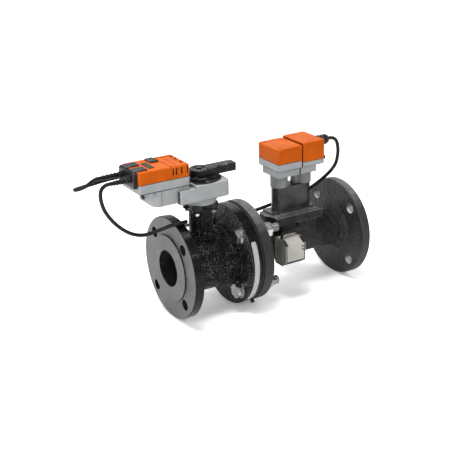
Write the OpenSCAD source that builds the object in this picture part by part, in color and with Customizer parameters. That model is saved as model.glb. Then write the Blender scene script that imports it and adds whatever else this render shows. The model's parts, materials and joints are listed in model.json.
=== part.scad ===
// Pressure independent control valve: flanged ball valve with a rotary actuator,
// bolted to an ultrasonic flow sensor with its own transmitter.
// Millimetres. The pipe axis is X, flow runs toward +X and the valve stem points up.
// The origin is the centre of the inlet raised face.

/* [Pipe connection] */
// Face to face length of the valve and flow sensor together
face_to_face = 379; // [374:1:390]
// Nominal bore of the pipe, which the ball, the bolt circle and the flanges follow
bore_d = 65; // [60:1:70]
// Distance from the bolt circle to the rim of a flange
flange_rim = 20; // [18:1:24]
// Diameter of the flange bolt holes
bolt_hole_d = 19; // [18.5:0.5:20]
// Number of bolts in a flange
bolt_count = 4; // [4,8]
// Distance from the raised sealing face to the bolt holes
face_gap = 3; // [2:0.5:5]
// Height of the raised sealing face
raised_face_t = 3; // [2:0.5:4]
// Thickness of the end flanges, raised face included
flange_t = 20; // [18:1:23]
// Thickness of the valve's outlet flange
joint_flange_t = 22; // [20:1:24]

/* [Ball valve] */
// Face to face length of the valve alone
valve_l = 139; // [138:1:142]
// Distance from the inlet face to the stem axis
stem_x = 68; // [67:0.5:69]
// Width of the ball's sealing shoulder round its bore
ball_shoulder = 12.5; // [12:0.5:13.5]
// Wall thickness of the round body barrel
barrel_wall = 6; // [5:0.5:8]
// Diameter of the neck round the stem
neck_d = 41; // [38:1:44]
// Height of the body's top flange above the pipe axis
body_top_h = 103; // [100:1:108]
// Diameter of the stem
stem_d = 16; // [15:0.5:17]

/* [Gear case] */
// Width of the gear case
block_w = 84; // [80:1:90]
// Height of the gear case
block_h = 26.5; // [26:0.5:29]
// Distance from the stem axis to the free end of the gear case
block_front = 39; // [38:1:44]
// Distance from the stem axis to the motor end of the gear case
block_back = 60; // [58:1:62]
// Wall thickness of the gear case
block_wall = 3; // [2.5:0.1:3.4]
// Module of the output gear teeth
output_module = 1.5; // [1.4:0.05:1.5]
// Module of the motor gear teeth
motor_module = 1; // [0.9:0.05:1]
// Teeth on the output gear
output_teeth = 44; // [40:4:44]
// Teeth on the large wheel of the compound gear
compound_teeth = 50; // [46:4:50]
// Teeth on both small pinions
pinion_teeth = 12; // [12:1:12]
// Free play between two meshing teeth
backlash = 0.4; // [0.3:0.05:0.5]

/* [Actuator housing] */
// Length of the orange cover
cover_l = 94; // [90:1:98]
// Width of the orange cover
cover_w = 66; // [64:1:70]
// Height of the orange cover
cover_h = 21.6; // [20:0.2:26]
// Height of the light grey band under the cover
band_h = 16; // [14:0.5:18]
// Height of the lower grey tray
tray_h = 27.5; // [26.5:0.5:30]
// Gap between the cover and the stem axis
cover_gap = 36; // [34:0.5:37]
// Wall thickness of the plastic housings
shell_wall = 2.5; // [2:0.1:3]

/* [Hand lever] */
// Diameter of the lever hub
hub_d = 34; // [33:0.5:38]
// Length of the lever from the stem axis to its end
lever_l = 70; // [64:1:80]
// Width of the lever arm
lever_w = 20; // [18:0.5:22]
// Height of the lever
lever_h = 14.5; // [13:0.5:16]

/* [Flow sensor] */
// Bore of the measuring pipe
meter_bore_d = 50; // [46:1:54]
// Outer diameter of the measuring pipe
meter_pipe_d = 64; // [63:1:67]
// Length of the plate on top of the measuring pipe
plate_l = 99; // [96:1:104]
// Width of the plate on top of the measuring pipe
plate_w = 76; // [74:1:78]
// Height of the plate's top above the pipe axis
plate_top_h = 58.5; // [56:0.5:60]
// Length of a transducer cover
pod_l = 42.5; // [40:0.5:44]
// Height of a transducer cover
pod_h = 50; // [48:1:52]
// Distance from the pipe axis to the face of a transducer cover
pod_reach = 70; // [68:1:72]

/* [Transmitter] */
// Length of the pillar, round ends included
pillar_l = 80; // [78:1:84]
// Width of the pillar
pillar_w = 28.5; // [28:0.5:31]
// Height of the pillar's top above the pipe axis
pillar_top_h = 106; // [102:1:110]
// Height of the grey sleeves on the pillar
sleeve_h = 23.5; // [20:0.5:26]
// Width of the transmitter covers
case_w = 66; // [64:1:70]
// Length of the left transmitter cover
case_left_l = 52; // [50:1:54]
// Length of the right transmitter cover
case_right_l = 48; // [46:1:50]
// Height of the left orange cover
cap_left_h = 28; // [26:0.5:30]
// Height of the right orange cover
cap_right_h = 35.5; // [33:0.5:38]

/* [Fasteners] */
// Thread diameter of the flange bolts
bolt_d = 16; // [14:1:16]
// Length of the flange bolts under the head
bolt_l = 80; // [77:1:86]
// Width across flats of the flange bolt heads
bolt_flats = 24; // [22:1:24]

/* [Hidden] */

// Common clearances and counts
overrun = 1;
fit_gap = 0.05;
part_gap = 0.3;
round_fn = 96;
hull_fn = 32;

// Ball, barrel and hub, one round the other
chamber_clear = 2;
hub_step = 2.5;
ball_d = bore_d + 2 * ball_shoulder;
barrel_d = ball_d + 2 * (chamber_clear + barrel_wall);
end_hub_d = barrel_d + 2 * hub_step;

// Flanges
joint_gasket_t = 3;
flange_edge = 1.2;
joint_x = valve_l + joint_gasket_t;
washer_d = 30;
washer_gap = 2;
bolt_r = (end_hub_d + washer_d) / 2 + washer_gap;
flange_d = 2 * (bolt_r + flange_rim);
raised_face_d = 2 * (bolt_r - face_gap) - bolt_hole_d;
joint_hole_d = bolt_d + washer_gap;

// Valve body, along the pipe axis
hub_fillet = 8;
end_hub_l = 12;
end_hub_x = valve_l - joint_flange_t - end_hub_l;
seat_r = ball_d / 2 - 2;
seat_bore_r = bore_d / 2 + 0.5;
seat_back = ball_d / 2 - 7;
seat_l = 12;
spigot_l = end_hub_x - stem_x - seat_back + seat_l;
disc_t = 2;
cup_l = 8;
disc_r = bore_d / 2 + 5;
disc_hole_r = bore_d / 2 - 4;
vee_share = 0.32;

// Neck and top flange
neck_foot = 7;
neck_foot_h = 9;
web_w = 16;
web_t = 1.6;
top_flange_t = 5;
top_lobe_r = 8;
top_circle_d = 46;
top_screw_d = 6;
top_hole_d = 6.6;
packing_d = 26;
packing_h = 26;
gland_h = 5;

// Ball and stem
slot_w = 10;
slot_depth = 9;
slot_gap = 0.1;
collar_d = 24;
collar_h = 4.5;
square_w = 11;
square_h = 16;

// Heights of the actuator
bracket_t = 9;
act_z = body_top_h + bracket_t;
bowl_h = 15.5;
block_z = act_z + bowl_h;
block_top = block_z + block_h;
block_step = 4;
tray_z = block_z + 2;
band_z = tray_z + tray_h;
cover_z = band_z + band_h;
cover_top = cover_z + cover_h;

// Places of the actuator along X
block_x0 = stem_x - block_back;
block_x1 = stem_x + block_front;
cover_x1 = stem_x - cover_gap;
cover_x0 = cover_x1 - cover_l;

// Bracket
bracket_w = 51;
bracket_lug_r = 9;
bracket_cut_r = 11;
bracket_head_h = 4;
bracket_nut_h = 5;
bracket_flats = 10;

// Gear case
block_r = 12;
block_back_r = 5;
floor_t = 3.5;
roof_t = 3.5;
step_x = stem_x - 28;
bowl_top_r = 36;
bowl_foot_r = 29;
bowl_foot_h = 3;
shaft_r = 13;

// Gear train
tooth_angle = 20;
addendum_share = 0.75;
dedendum_share = 1;
output_gear_t = 9;
compound_t = 4;
gear_lift = 1.5;
gear_web_t = 4;
rim_share = 0.82;
output_r = output_module * output_teeth / 2;
output_pinion_r = output_module * pinion_teeth / 2;
compound_r = motor_module * compound_teeth / 2;
motor_pinion_r = motor_module * pinion_teeth / 2;
compound_x = stem_x - output_r - output_pinion_r;
motor_x = compound_x - compound_r - motor_pinion_r;
output_gear_z = block_z + floor_t + gear_lift;
compound_z = output_gear_z + output_gear_t + gear_lift;
pin_r = 3;
motor_shaft_r = 2;
motor_r = 16.5;
motor_h = 30;
motor_plate_t = 2;
motor_boss_r = 7;
motor_boss_h = 2.5;
pocket_gap = 2;

// Tray, band and cover
tray_room = 12;
tray_x0 = motor_x - motor_r - shell_wall - tray_room;
tray_corner = 8;
edge_r = 3;
cover_bevel = 1.6;
vent_w = 2.5;
vent_h = 12;
vent_shares = [0.66, 0.725, 0.83, 0.945];
panel_depth = 0.8;
panel_l_share = 0.36;
panel_w_share = 0.78;
groove_w = 1.2;
groove_shares = [0.1, 0.45, 0.8];
top_slot = [4, 9];
top_slot_shares = [0.29, 0.62, 0.86];
clip_size = [7, 5, 7];
cover_screw_r = 2.2;
cover_screw_h = 1;
cover_screw_share = 0.65;
board_t = 1.6;
board_room = 15;
board_l = motor_x - motor_r - cover_x0 - shell_wall - edge_r - board_room;
board_post_h = 4;
board_post_r = 2.5;
chip_size = [7, 11, 2];

// Push button and window on the cover
button_size = [15, 22, 6.5];
button_up = 2.8;
button_gap = 0.4;
button_x_share = 0.52;
button_y_share = 0.26;
window_size = [10, 32, 1.6];
window_x_share = 0.33;
window_y_share = -0.05;

// Connector modules
conn_w = 25;
conn_gap = 4;
conn_t = 7.5;
conn_drop = 28.5;
conn_tongue = 20;
conn_lip = 1.8;
conn_r = 3;
nipple_r = 5.5;
nipple_l = 4.5;
conn_port_near_drop = 16.6;
conn_port_near_shift = 7.5;
conn_port_far_drop = 11.6;
conn_port_far_shift = 0.5;

// Lever, cap and stops
lever_gap = 3.5;
lever_z = block_top + lever_gap;
hub_dish_r = 11;
hub_dish_depth = 1.6;
lever_edge = 1.2;
lever_tip_r = 3;
lever_screw_r = 4.5;
lever_screw_h = 2.5;
cap_l = 18;
cap_seam = 0.8;
lever_socket_h = 7;
shaft_top = lever_z + lever_socket_h;
stop_plate_t = 1.6;
stop_plate_r = 38;
stop_hole_r = 18.5;
stop_finger_w = 6;
stop_finger_t = 2;
stop_finger_reach = 27;
stop_clear_angle = 0.5;
stop_block = [9, 8];
stop_screw_r = 3.2;
stop_screw_h = 2;
stop_r = 25.5;

// Flow sensor casting
meter_fillet = 7;
cone_l = 26;
meter_shift = 7;
meter_mid = (joint_x + face_to_face) / 2 - meter_shift;
plate_t = 15.5;
plate_plan_shares = [[-0.5, -0.5], [0.5, -0.5], [0.5, 0.5], [0.1, 0.5], [-0.2, 0.26],
    [-0.575, 0.09], [-0.575, -0.16], [-0.5, -0.34]];
plate_rail = [4.5, 3];
saddle_w = 60;
saddle_l = 84;
pod_boss = 34;
pod_boss_l = 36;
pod_boss_h = 44;
pod_shift = 30.5;
pod_bevel = 8;
pod_back_bevel = 3;
pod_plate_t = 1.6;
pod_seal_t = 1.4;
pod_seal_in = 1.2;
pod_screw_r = 1.3;
pod_screw_share = 0.36;
lead_r = 2.7;
side_panel = [56, 4];
side_panel_gap = 1;

// Pillar and transmitter
pillar_shift = 6.5;
pillar_x = meter_mid + pillar_shift;
foot_t = 2.5;
foot_lead = 12;
foot_rim = 2;
sleeve_r = 16.2;
conduit_r = 7.9;
conduit_shift = 9;
case_tray_h = 13;
case_tray_w = 52;
case_step = 1.5;
case_band_h = 13.5;
case_gap = 1;
case_tray_gap = 4;
case_z = pillar_top_h + sleeve_h;
case_band_z = case_z + case_tray_h + case_step;
case_cap_z = case_band_z + case_band_h;
case_back = 49;
case_x0 = pillar_x - case_back;
case_x1 = case_x0 + case_left_l + case_gap;
case_end = case_x1 + case_right_l;
case_right_low = 4;
cap_screw_r = 2.4;
cap_slot = [2, 9];
gland_r = 9.5;
gland_hex_l = 9;
gland_l = 31;
gland_nut_share = 0.5;
gland_drop = 12;
plug_r = 4.5;
plug_l = 12;
plug_y = -16;
plug_drop = 40;

// Flange bolts
washer_t = 3;
head_h = 10;
nut_h = 13;

// Cables
cable_r = 3.25;
cable_fn = 8;
boot_r = 5.2;
boot_l = 25;
far_boot_l = 36;
boot_ribs = 5;
boot_rib_share = 0.8;

// Colours
iron = [0.10, 0.10, 0.11];
casting = [0.20, 0.21, 0.22];
zinc = [0.80, 0.80, 0.78];
light_grey = [0.78, 0.80, 0.81];
orange = [0.93, 0.47, 0.16];
black = [0.12, 0.12, 0.13];
cream = [0.85, 0.84, 0.80];

// Solid turned about the pipe axis; the outline gives radius and distance along X
module turned() {
    rotate([0, 90, 0]) rotate_extrude($fn = round_fn) children();
}

// Rod along X from x0 to x1
module rod_x(x0, x1, r) {
    translate([x0, 0, 0]) rotate([0, 90, 0]) cylinder(h = x1 - x0, r = r, $fn = round_fn);
}

// Children repeated on the flange bolt circle
module on_bolt_circle() {
    for (i = [0 : bolt_count - 1])
        rotate([180 / bolt_count + i * 360 / bolt_count, 0, 0])
            translate([0, bolt_r, 0]) children();
}

// Holes of the flange bolt circle between x0 and x1
module bolt_holes(x0, x1, d) {
    on_bolt_circle() rod_x(x0, x1, d / 2);
}

// Hexagon bar along Z
module hex_bar(flats, h) {
    cylinder(h = h, r = flats / sqrt(3), $fn = 6);
}

// Rectangle from corner to corner with round corners, r1 at low x and r2 at high x
module rounded(x0, x1, w, r1, r2) {
    translate([x0 + r1, -w / 2]) square([x1 - x0 - r1 - r2, w]);
    translate([x0, -w / 2 + r1]) square([r1 + overrun, w - 2 * r1]);
    translate([x1 - r2 - overrun, -w / 2 + r2]) square([r2 + overrun, w - 2 * r2]);
    for (s = [-1, 1]) {
        translate([x0 + r1, s * (w / 2 - r1)]) circle(r = r1, $fn = hull_fn);
        translate([x1 - r2, s * (w / 2 - r2)]) circle(r = r2, $fn = hull_fn);
    }
}

// Box with round upright edges between two heights
module upright(x0, x1, w, r1, r2, z0, z1) {
    translate([0, 0, z0]) linear_extrude(z1 - z0) rounded(x0, x1, w, r1, r2);
}

// Outline with two round ends along X
module obround(l, w) {
    for (s = [-1, 1]) translate([s * (l - w) / 2, 0]) circle(d = w, $fn = 64);
    square([l - w, w], center = true);
}

// Cover whose top edges are bevelled
module bevelled(x0, x1, w, r, z0, z1, bevel) {
    hull() {
        upright(x0, x1, w, r, r, z0, z1 - bevel);
        upright(x0 + bevel, x1 - bevel, w - 2 * bevel, r, r, z1 - bevel, z1);
    }
}

// Places four children at the corners of the top flange circle
module on_top_circle() {
    for (a = [45 : 90 : 315])
        translate([stem_x, 0, 0]) rotate(a) translate([top_circle_d / 2, 0, 0]) children();
}

// Valve body

// Casting: inlet flange, ball chamber, neck and top flange
module valve_body() {
    fr = flange_d / 2;
    br = barrel_d / 2;
    chamber_r = ball_d / 2 + chamber_clear;
    seat_x = stem_x - seat_back;
    color(iron) difference() {
        union() {
            turned() polygon([[0, 0], [raised_face_d / 2, 0], [raised_face_d / 2, raised_face_t],
                [fr - flange_edge, raised_face_t], [fr, raised_face_t + flange_edge],
                [fr, flange_t - flange_edge], [fr - flange_edge, flange_t],
                [br + hub_fillet, flange_t], [br + hub_fillet / 4, flange_t + hub_fillet / 4],
                [br, flange_t + hub_fillet], [br, end_hub_x], [0, end_hub_x]]);
            translate([stem_x, 0, 0]) cylinder(h = body_top_h, d = neck_d, $fn = round_fn);
            translate([stem_x, 0, br - neck_foot_h / 2])
                cylinder(h = neck_foot_h, r1 = neck_d / 2 + neck_foot, r2 = neck_d / 2,
                    $fn = round_fn);
            translate([stem_x - web_w / 2, -neck_d / 2 - web_t, br - neck_foot_h])
                cube([web_w, neck_d + 2 * web_t, body_top_h - br + neck_foot_h]);
            translate([0, 0, body_top_h - top_flange_t]) {
                translate([stem_x, 0, 0])
                    cylinder(h = top_flange_t, d = top_circle_d, $fn = round_fn);
                on_top_circle() cylinder(h = top_flange_t, r = top_lobe_r, $fn = hull_fn);
            }
        }
        rod_x(-overrun, end_hub_x + overrun, bore_d / 2);
        rod_x(seat_x, end_hub_x + overrun, seat_r);
        rod_x(seat_x + seat_l, end_hub_x + overrun, chamber_r);
        bolt_holes(-overrun, flange_t + overrun, bolt_hole_d);
        translate([stem_x, 0, 0])
            cylinder(h = body_top_h + overrun, r = stem_d / 2 + fit_gap, $fn = round_fn);
        translate([stem_x, 0, 0]) cylinder(h = ball_d / 2 + slot_gap + collar_h + part_gap,
            r = collar_d / 2 + part_gap, $fn = round_fn);
        translate([stem_x, 0, body_top_h - gland_h - packing_h])
            cylinder(h = gland_h + packing_h + overrun, d = packing_d, $fn = round_fn);
        on_top_circle() {
            translate([0, 0, body_top_h - top_flange_t - overrun])
                cylinder(h = top_flange_t + 2 * overrun, d = top_hole_d, $fn = hull_fn);
            translate([0, 0, body_top_h - top_flange_t - bracket_nut_h - 2 * overrun])
                cylinder(h = bracket_nut_h + 2 * overrun, r = bracket_flats / sqrt(3) + part_gap,
                    $fn = hull_fn);
        }
    }
}

// End piece: spigot in the chamber, hub and outlet flange
module body_end() {
    fr = flange_d / 2;
    hr = end_hub_d / 2;
    sr = ball_d / 2 + chamber_clear - fit_gap;
    seat_x = stem_x + seat_back;
    flange_x = valve_l - joint_flange_t;
    color(iron) difference() {
        turned() polygon([[0, end_hub_x - spigot_l], [sr, end_hub_x - spigot_l],
            [sr, end_hub_x], [hr, end_hub_x], [hr, flange_x],
            [fr - flange_edge, flange_x], [fr, flange_x + flange_edge],
            [fr, valve_l - flange_edge], [fr - flange_edge, valve_l], [0, valve_l]]);
        rod_x(end_hub_x - spigot_l - overrun, valve_l + overrun, bore_d / 2);
        rod_x(end_hub_x - spigot_l - overrun, seat_x, seat_r);
        rod_x(seat_x - overrun, seat_x + cup_l + disc_t, disc_r);
        bolt_holes(flange_x - overrun, valve_l + overrun, joint_hole_d);
    }
}

// The two seat rings, coned where they face the ball
module seat_rings() {
    clear_r = ball_d / 2 + part_gap;
    near = seat_back - seat_l;
    color("white") for (s = [-1, 1]) turned() polygon([[seat_bore_r, stem_x + s * seat_back],
        [seat_r - fit_gap, stem_x + s * seat_back], [seat_r - fit_gap, stem_x + s * near],
        [sqrt(clear_r * clear_r - near * near), stem_x + s * near],
        [seat_bore_r, stem_x + s * sqrt(clear_r * clear_r - seat_bore_r * seat_bore_r)]]);
}

// Flow cup: clears the turning ball and ends in a plate whose opening starts as a narrow vee
module flow_cup() {
    x0 = stem_x + seat_back;
    color("silver") difference() {
        rod_x(x0, x0 + cup_l + fit_gap, disc_r - fit_gap);
        rod_x(x0 - overrun, x0 + cup_l + overrun, seat_bore_r);
    }
    color("silver") translate([x0 + cup_l, 0, 0]) rotate([0, 90, 0])
        linear_extrude(disc_t) difference() {
            circle(r = disc_r - fit_gap, $fn = round_fn);
            intersection() {
                circle(r = disc_hole_r, $fn = round_fn);
                polygon([[-disc_hole_r, 0], [disc_hole_r * vee_share, -disc_hole_r * vee_share],
                    [disc_hole_r, -disc_hole_r], [disc_hole_r, disc_hole_r],
                    [disc_hole_r * vee_share, disc_hole_r * vee_share]]);
            }
        }
}

// Ball with its through bore and the slot for the stem
module ball() {
    color("silver") difference() {
        translate([stem_x, 0, 0]) sphere(d = ball_d, $fn = round_fn);
        rod_x(stem_x - ball_d, stem_x + ball_d, bore_d / 2);
        translate([stem_x - slot_w / 2, -ball_d / 2, ball_d / 2 - slot_depth])
            cube([slot_w, ball_d, slot_depth + overrun]);
    }
}

// Stem: tongue, collar, shaft and square end
module stem() {
    collar_z = ball_d / 2 + slot_gap;
    square_z = act_z;
    color("silver") translate([stem_x, 0, 0]) {
        intersection() {
            translate([-slot_w / 2 + slot_gap, -collar_d / 2, ball_d / 2 - slot_depth + slot_gap])
                cube([slot_w - 2 * slot_gap, collar_d, slot_depth]);
            cylinder(h = body_top_h, d = collar_d, $fn = round_fn);
        }
        translate([0, 0, collar_z]) cylinder(h = collar_h, d = collar_d, $fn = round_fn);
        translate([0, 0, collar_z]) cylinder(h = square_z - collar_z, d = stem_d, $fn = round_fn);
        translate([-square_w / 2, -square_w / 2, square_z])
            cube([square_w, square_w, square_h]);
    }
}

// Seal rings pressed round the stem
module stem_packing() {
    color("dimgray") translate([stem_x, 0, body_top_h - gland_h - packing_h]) difference() {
        cylinder(h = packing_h, d = packing_d - 2 * fit_gap, $fn = round_fn);
        translate([0, 0, -overrun])
            cylinder(h = packing_h + 2 * overrun, r = stem_d / 2 + fit_gap, $fn = round_fn);
    }
}

// Steel ring that holds the seals down
module gland_ring() {
    color("silver") translate([stem_x, 0, body_top_h - gland_h]) difference() {
        cylinder(h = gland_h, d = packing_d - 2 * fit_gap, $fn = round_fn);
        translate([0, 0, -overrun])
            cylinder(h = gland_h + 2 * overrun, r = stem_d / 2 + fit_gap, $fn = round_fn);
    }
}

// Flange joint

gasket_inset = 1.5;
tab_angle = -57;
tab_w = 9;
tab_reach = 6;

// Full-face gasket with its pull tab
module flange_gasket() {
    gr = flange_d / 2 - gasket_inset;
    color(black) difference() {
        union() {
            rod_x(valve_l, joint_x, gr);
            rotate([-tab_angle, 0, 0]) translate([valve_l, -gr - gasket_inset - tab_reach, -tab_w / 2])
                cube([joint_gasket_t, gr, tab_w]);
        }
        rod_x(valve_l - overrun, joint_x + overrun, bore_d / 2);
        bolt_holes(valve_l - overrun, joint_x + overrun, joint_hole_d);
    }
}

// Hexagon bolts of the flange joint, heads on the valve side
module flange_bolts() {
    x0 = valve_l - joint_flange_t - washer_t;
    color(zinc) on_bolt_circle() translate([x0, 0, 0]) rotate([0, 90, 0]) {
        translate([0, 0, -head_h]) hex_bar(bolt_flats, head_h);
        cylinder(h = bolt_l, d = bolt_d, $fn = round_fn);
    }
}

// Washers under the heads and the nuts
module flange_washers() {
    color(zinc) on_bolt_circle()
        for (x = [valve_l - joint_flange_t - washer_t, joint_x + flange_t]) difference() {
            rod_x(x, x + washer_t, washer_d / 2);
            rod_x(x - overrun, x + washer_t + overrun, bolt_d / 2 + part_gap);
        }
}

// Nuts of the flange joint
module flange_nuts() {
    x0 = joint_x + flange_t + washer_t;
    color(zinc) on_bolt_circle() translate([x0, 0, 0]) rotate([0, 90, 0]) difference() {
        hex_bar(bolt_flats, nut_h);
        translate([0, 0, -overrun])
            cylinder(h = nut_h + 2 * overrun, r = bolt_d / 2 + fit_gap, $fn = round_fn);
    }
}

// Actuator mounting

// Plate between the valve's top flange and the actuator, scalloped at the sides
module mounting_bracket() {
    color(black) translate([stem_x, 0, body_top_h]) difference() {
        linear_extrude(bracket_t) difference() {
            rounded(-bracket_w / 2, bracket_w / 2, bracket_w, bracket_lug_r, bracket_lug_r);
            for (a = [0 : 90 : 270])
                rotate(a) translate([bracket_w / 2 + bracket_cut_r / 2, 0])
                    circle(r = bracket_cut_r, $fn = 64);
        }
        translate([0, 0, -overrun])
            cylinder(h = bracket_t + 2 * overrun, d = packing_d, $fn = round_fn);
        for (a = [45 : 90 : 315]) rotate(a) translate([top_circle_d / 2, 0, -overrun]) {
            cylinder(h = bracket_t + 2 * overrun, d = top_hole_d, $fn = hull_fn);
            translate([0, 0, bracket_t - bracket_head_h + overrun])
                cylinder(h = bracket_head_h + overrun, r = bracket_flats / sqrt(3) + part_gap,
                    $fn = hull_fn);
        }
    }
}

// Screws through the bracket with nuts under the top flange
module bracket_screws() {
    under = body_top_h - top_flange_t;
    color(zinc) on_top_circle() {
        translate([0, 0, under - bracket_nut_h - overrun])
            cylinder(h = top_flange_t + bracket_t + bracket_nut_h + overrun - bracket_head_h,
                d = top_screw_d, $fn = hull_fn);
        translate([0, 0, under - bracket_nut_h]) hex_bar(bracket_flats, bracket_nut_h);
        translate([0, 0, act_z - bracket_head_h]) hex_bar(bracket_flats, bracket_head_h);
    }
}

// Round foot of the gear case with its floor plate and the bearing of the output shaft
module base_bowl() {
    inset = block_wall + fit_gap;
    color(light_grey) difference() {
        union() {
            translate([stem_x, 0, act_z])
                cylinder(h = bowl_foot_h, r = bowl_foot_r, $fn = round_fn);
            translate([stem_x, 0, act_z + bowl_foot_h])
                cylinder(h = bowl_h - bowl_foot_h, r1 = bowl_foot_r, r2 = bowl_top_r,
                    $fn = round_fn);
            upright(block_x0 + inset, block_x1 - inset, block_w - 2 * inset,
                block_back_r - block_wall, block_r - block_wall, block_z, block_z + floor_t);
        }
        translate([stem_x, 0, act_z - overrun])
            cylinder(h = bowl_h + floor_t + 2 * overrun, r = shaft_r + fit_gap, $fn = round_fn);
        translate([compound_x, 0, block_z + gear_lift])
            cylinder(h = floor_t, r = pin_r, $fn = round_fn);
    }
}

// Gear case, open below, with a lower roof under the motor housing
module gear_case() {
    inner_w = block_w - 2 * block_wall;
    color(light_grey) difference() {
        union() {
            upright(block_x0, block_x1, block_w, block_back_r, block_r, block_z,
                block_top - block_step);
            upright(step_x, block_x1, block_w, block_step / 2, block_r,
                block_top - block_step - overrun, block_top);
        }
        upright(block_x0 + block_wall, block_x1 - block_wall, inner_w,
            block_back_r - block_wall, block_r - block_wall, block_z - overrun,
            block_top - block_step - roof_t);
        upright(step_x + block_step, block_x1 - block_wall, inner_w, block_step / 2,
            block_r - block_wall, block_top - block_step - roof_t - overrun, block_top - roof_t);
        translate([compound_x, 0, block_top - block_step - roof_t - overrun])
            cylinder(h = roof_t + overrun, r = compound_r + motor_module + pocket_gap,
                $fn = round_fn);
        translate([compound_x, 0, block_top - block_step - overrun]) intersection() {
            cylinder(h = 2 * overrun, r = compound_r + motor_module + pocket_gap,
                $fn = round_fn);
            translate([-block_w, -block_w / 2, 0])
                cube([step_x - compound_x + block_w, block_w, 2 * overrun]);
        }
        translate([block_x0 - overrun, -compound_r, output_gear_z + output_gear_t])
            cube([block_wall + 2 * overrun, 2 * compound_r,
                block_top - block_step + overrun - output_gear_z - output_gear_t]);
        translate([stem_x, 0, block_top - roof_t - overrun])
            cylinder(h = roof_t + 2 * overrun, r = shaft_r + fit_gap, $fn = round_fn);
    }
}

// Gear train

// Involute of an angle in degrees
function inv(a) = tan(a) * 180 / PI - a;
// Half the angle that a tooth fills at radius r, for pitch radius rp and z teeth
function half_tooth(r, rp, z) =
    90 / z - backlash / rp * 45 / PI + inv(tooth_angle)
    - inv(acos(min(1, rp * cos(tooth_angle) / r)));
// Radii at which a tooth flank is drawn, root to tip
function flank_radii(rp, m) = [for (s = [-dedendum_share, -0.5, 0, 0.4, addendum_share]) rp + s * m];
// Outline of a gear with involute teeth
function gear_points(m, z) = let (rp = m * z / 2, radii = flank_radii(rp, m), n = len(radii))
    [for (i = [0 : z - 1], k = [0 : 2 * n - 1])
        let (r = radii[k < n ? k : 2 * n - 1 - k],
            a = i * 360 / z + (k < n ? -1 : 1) * half_tooth(r, rp, z))
        [r * cos(a), r * sin(a)]];

// Toothed wheel
module gear(m, z, h) {
    linear_extrude(h) polygon(gear_points(m, z));
}

// Output gear on the hollow output shaft
module output_gear() {
    rim = output_r * rim_share;
    color("ivory") difference() {
        union() {
            translate([stem_x, 0, output_gear_z]) gear(output_module, output_teeth, output_gear_t);
            translate([stem_x, 0, act_z])
                cylinder(h = shaft_top - act_z, r = shaft_r, $fn = round_fn);
        }
        translate([stem_x, 0, output_gear_z + gear_web_t]) difference() {
            cylinder(h = output_gear_t, r = rim, $fn = round_fn);
            cylinder(h = output_gear_t, r = shaft_r, $fn = round_fn);
        }
        translate([stem_x - square_w / 2 - slot_gap, -square_w / 2 - slot_gap, act_z - overrun])
            cube([square_w + 2 * slot_gap, square_w + 2 * slot_gap,
                square_h + part_gap + overrun]);
    }
}

// Compound gear: large wheel over a small pinion, free on its pin
module compound_gear() {
    color("ivory") translate([compound_x, 0, 0]) difference() {
        union() {
            translate([0, 0, output_gear_z]) rotate(180 / pinion_teeth)
                gear(output_module, pinion_teeth, compound_z - output_gear_z);
            translate([0, 0, compound_z]) gear(motor_module, compound_teeth, compound_t);
        }
        translate([0, 0, output_gear_z - overrun])
            cylinder(h = compound_z + compound_t, r = pin_r + fit_gap, $fn = round_fn);
    }
}

// Pinion and shaft of the motor
module motor_pinion() {
    color("silver") translate([motor_x, 0, compound_z]) {
        rotate(180 / pinion_teeth) gear(motor_module, pinion_teeth, compound_t);
        cylinder(h = motor_z - compound_z + motor_boss_h + motor_plate_t, r = motor_shaft_r,
            $fn = round_fn);
    }
}

// Pin of the compound gear, set in the floor plate
module gear_pin() {
    z0 = block_z + gear_lift;
    color("silver") translate([compound_x, 0, z0])
        cylinder(h = compound_z + compound_t + part_gap - z0, r = pin_r, $fn = round_fn);
}

motor_z = max(block_top - block_step, compound_z + compound_t + part_gap);

// Geared motor on its mounting plate
module gear_motor() {
    plate_w = cover_w - 2 * shell_wall - 2 * part_gap;
    color("silver") difference() {
        union() {
            translate([tray_x0 + tray_corner + shell_wall, -plate_w / 2, motor_z])
                cube([cover_x1 - shell_wall - part_gap - tray_x0 - tray_corner - shell_wall,
                    plate_w, motor_plate_t]);
            translate([motor_x, 0, motor_z])
                cylinder(h = motor_h, r = motor_r, $fn = round_fn);
            translate([motor_x, 0, motor_z + motor_h])
                cylinder(h = motor_boss_h, r = motor_boss_r, $fn = round_fn);
        }
        translate([motor_x, 0, motor_z - overrun])
            cylinder(h = 2 * motor_plate_t + motor_boss_h + overrun, r = motor_shaft_r + fit_gap,
                $fn = round_fn);
    }
}

// Circuit board on the posts of the band, with its larger parts
module circuit_board() {
    z0 = band_z + shell_wall + board_post_h;
    w = cover_w - 2 * shell_wall - 4 * edge_r;
    color("darkgreen") translate([cover_x0 + shell_wall + edge_r, -w / 2, z0]) {
        cube([board_l, w, board_t]);
        for (s = [0.2, 0.6])
            translate([board_l / 3, w * s, board_t - fit_gap]) cube(chip_size);
    }
}

// Motor housing

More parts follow.
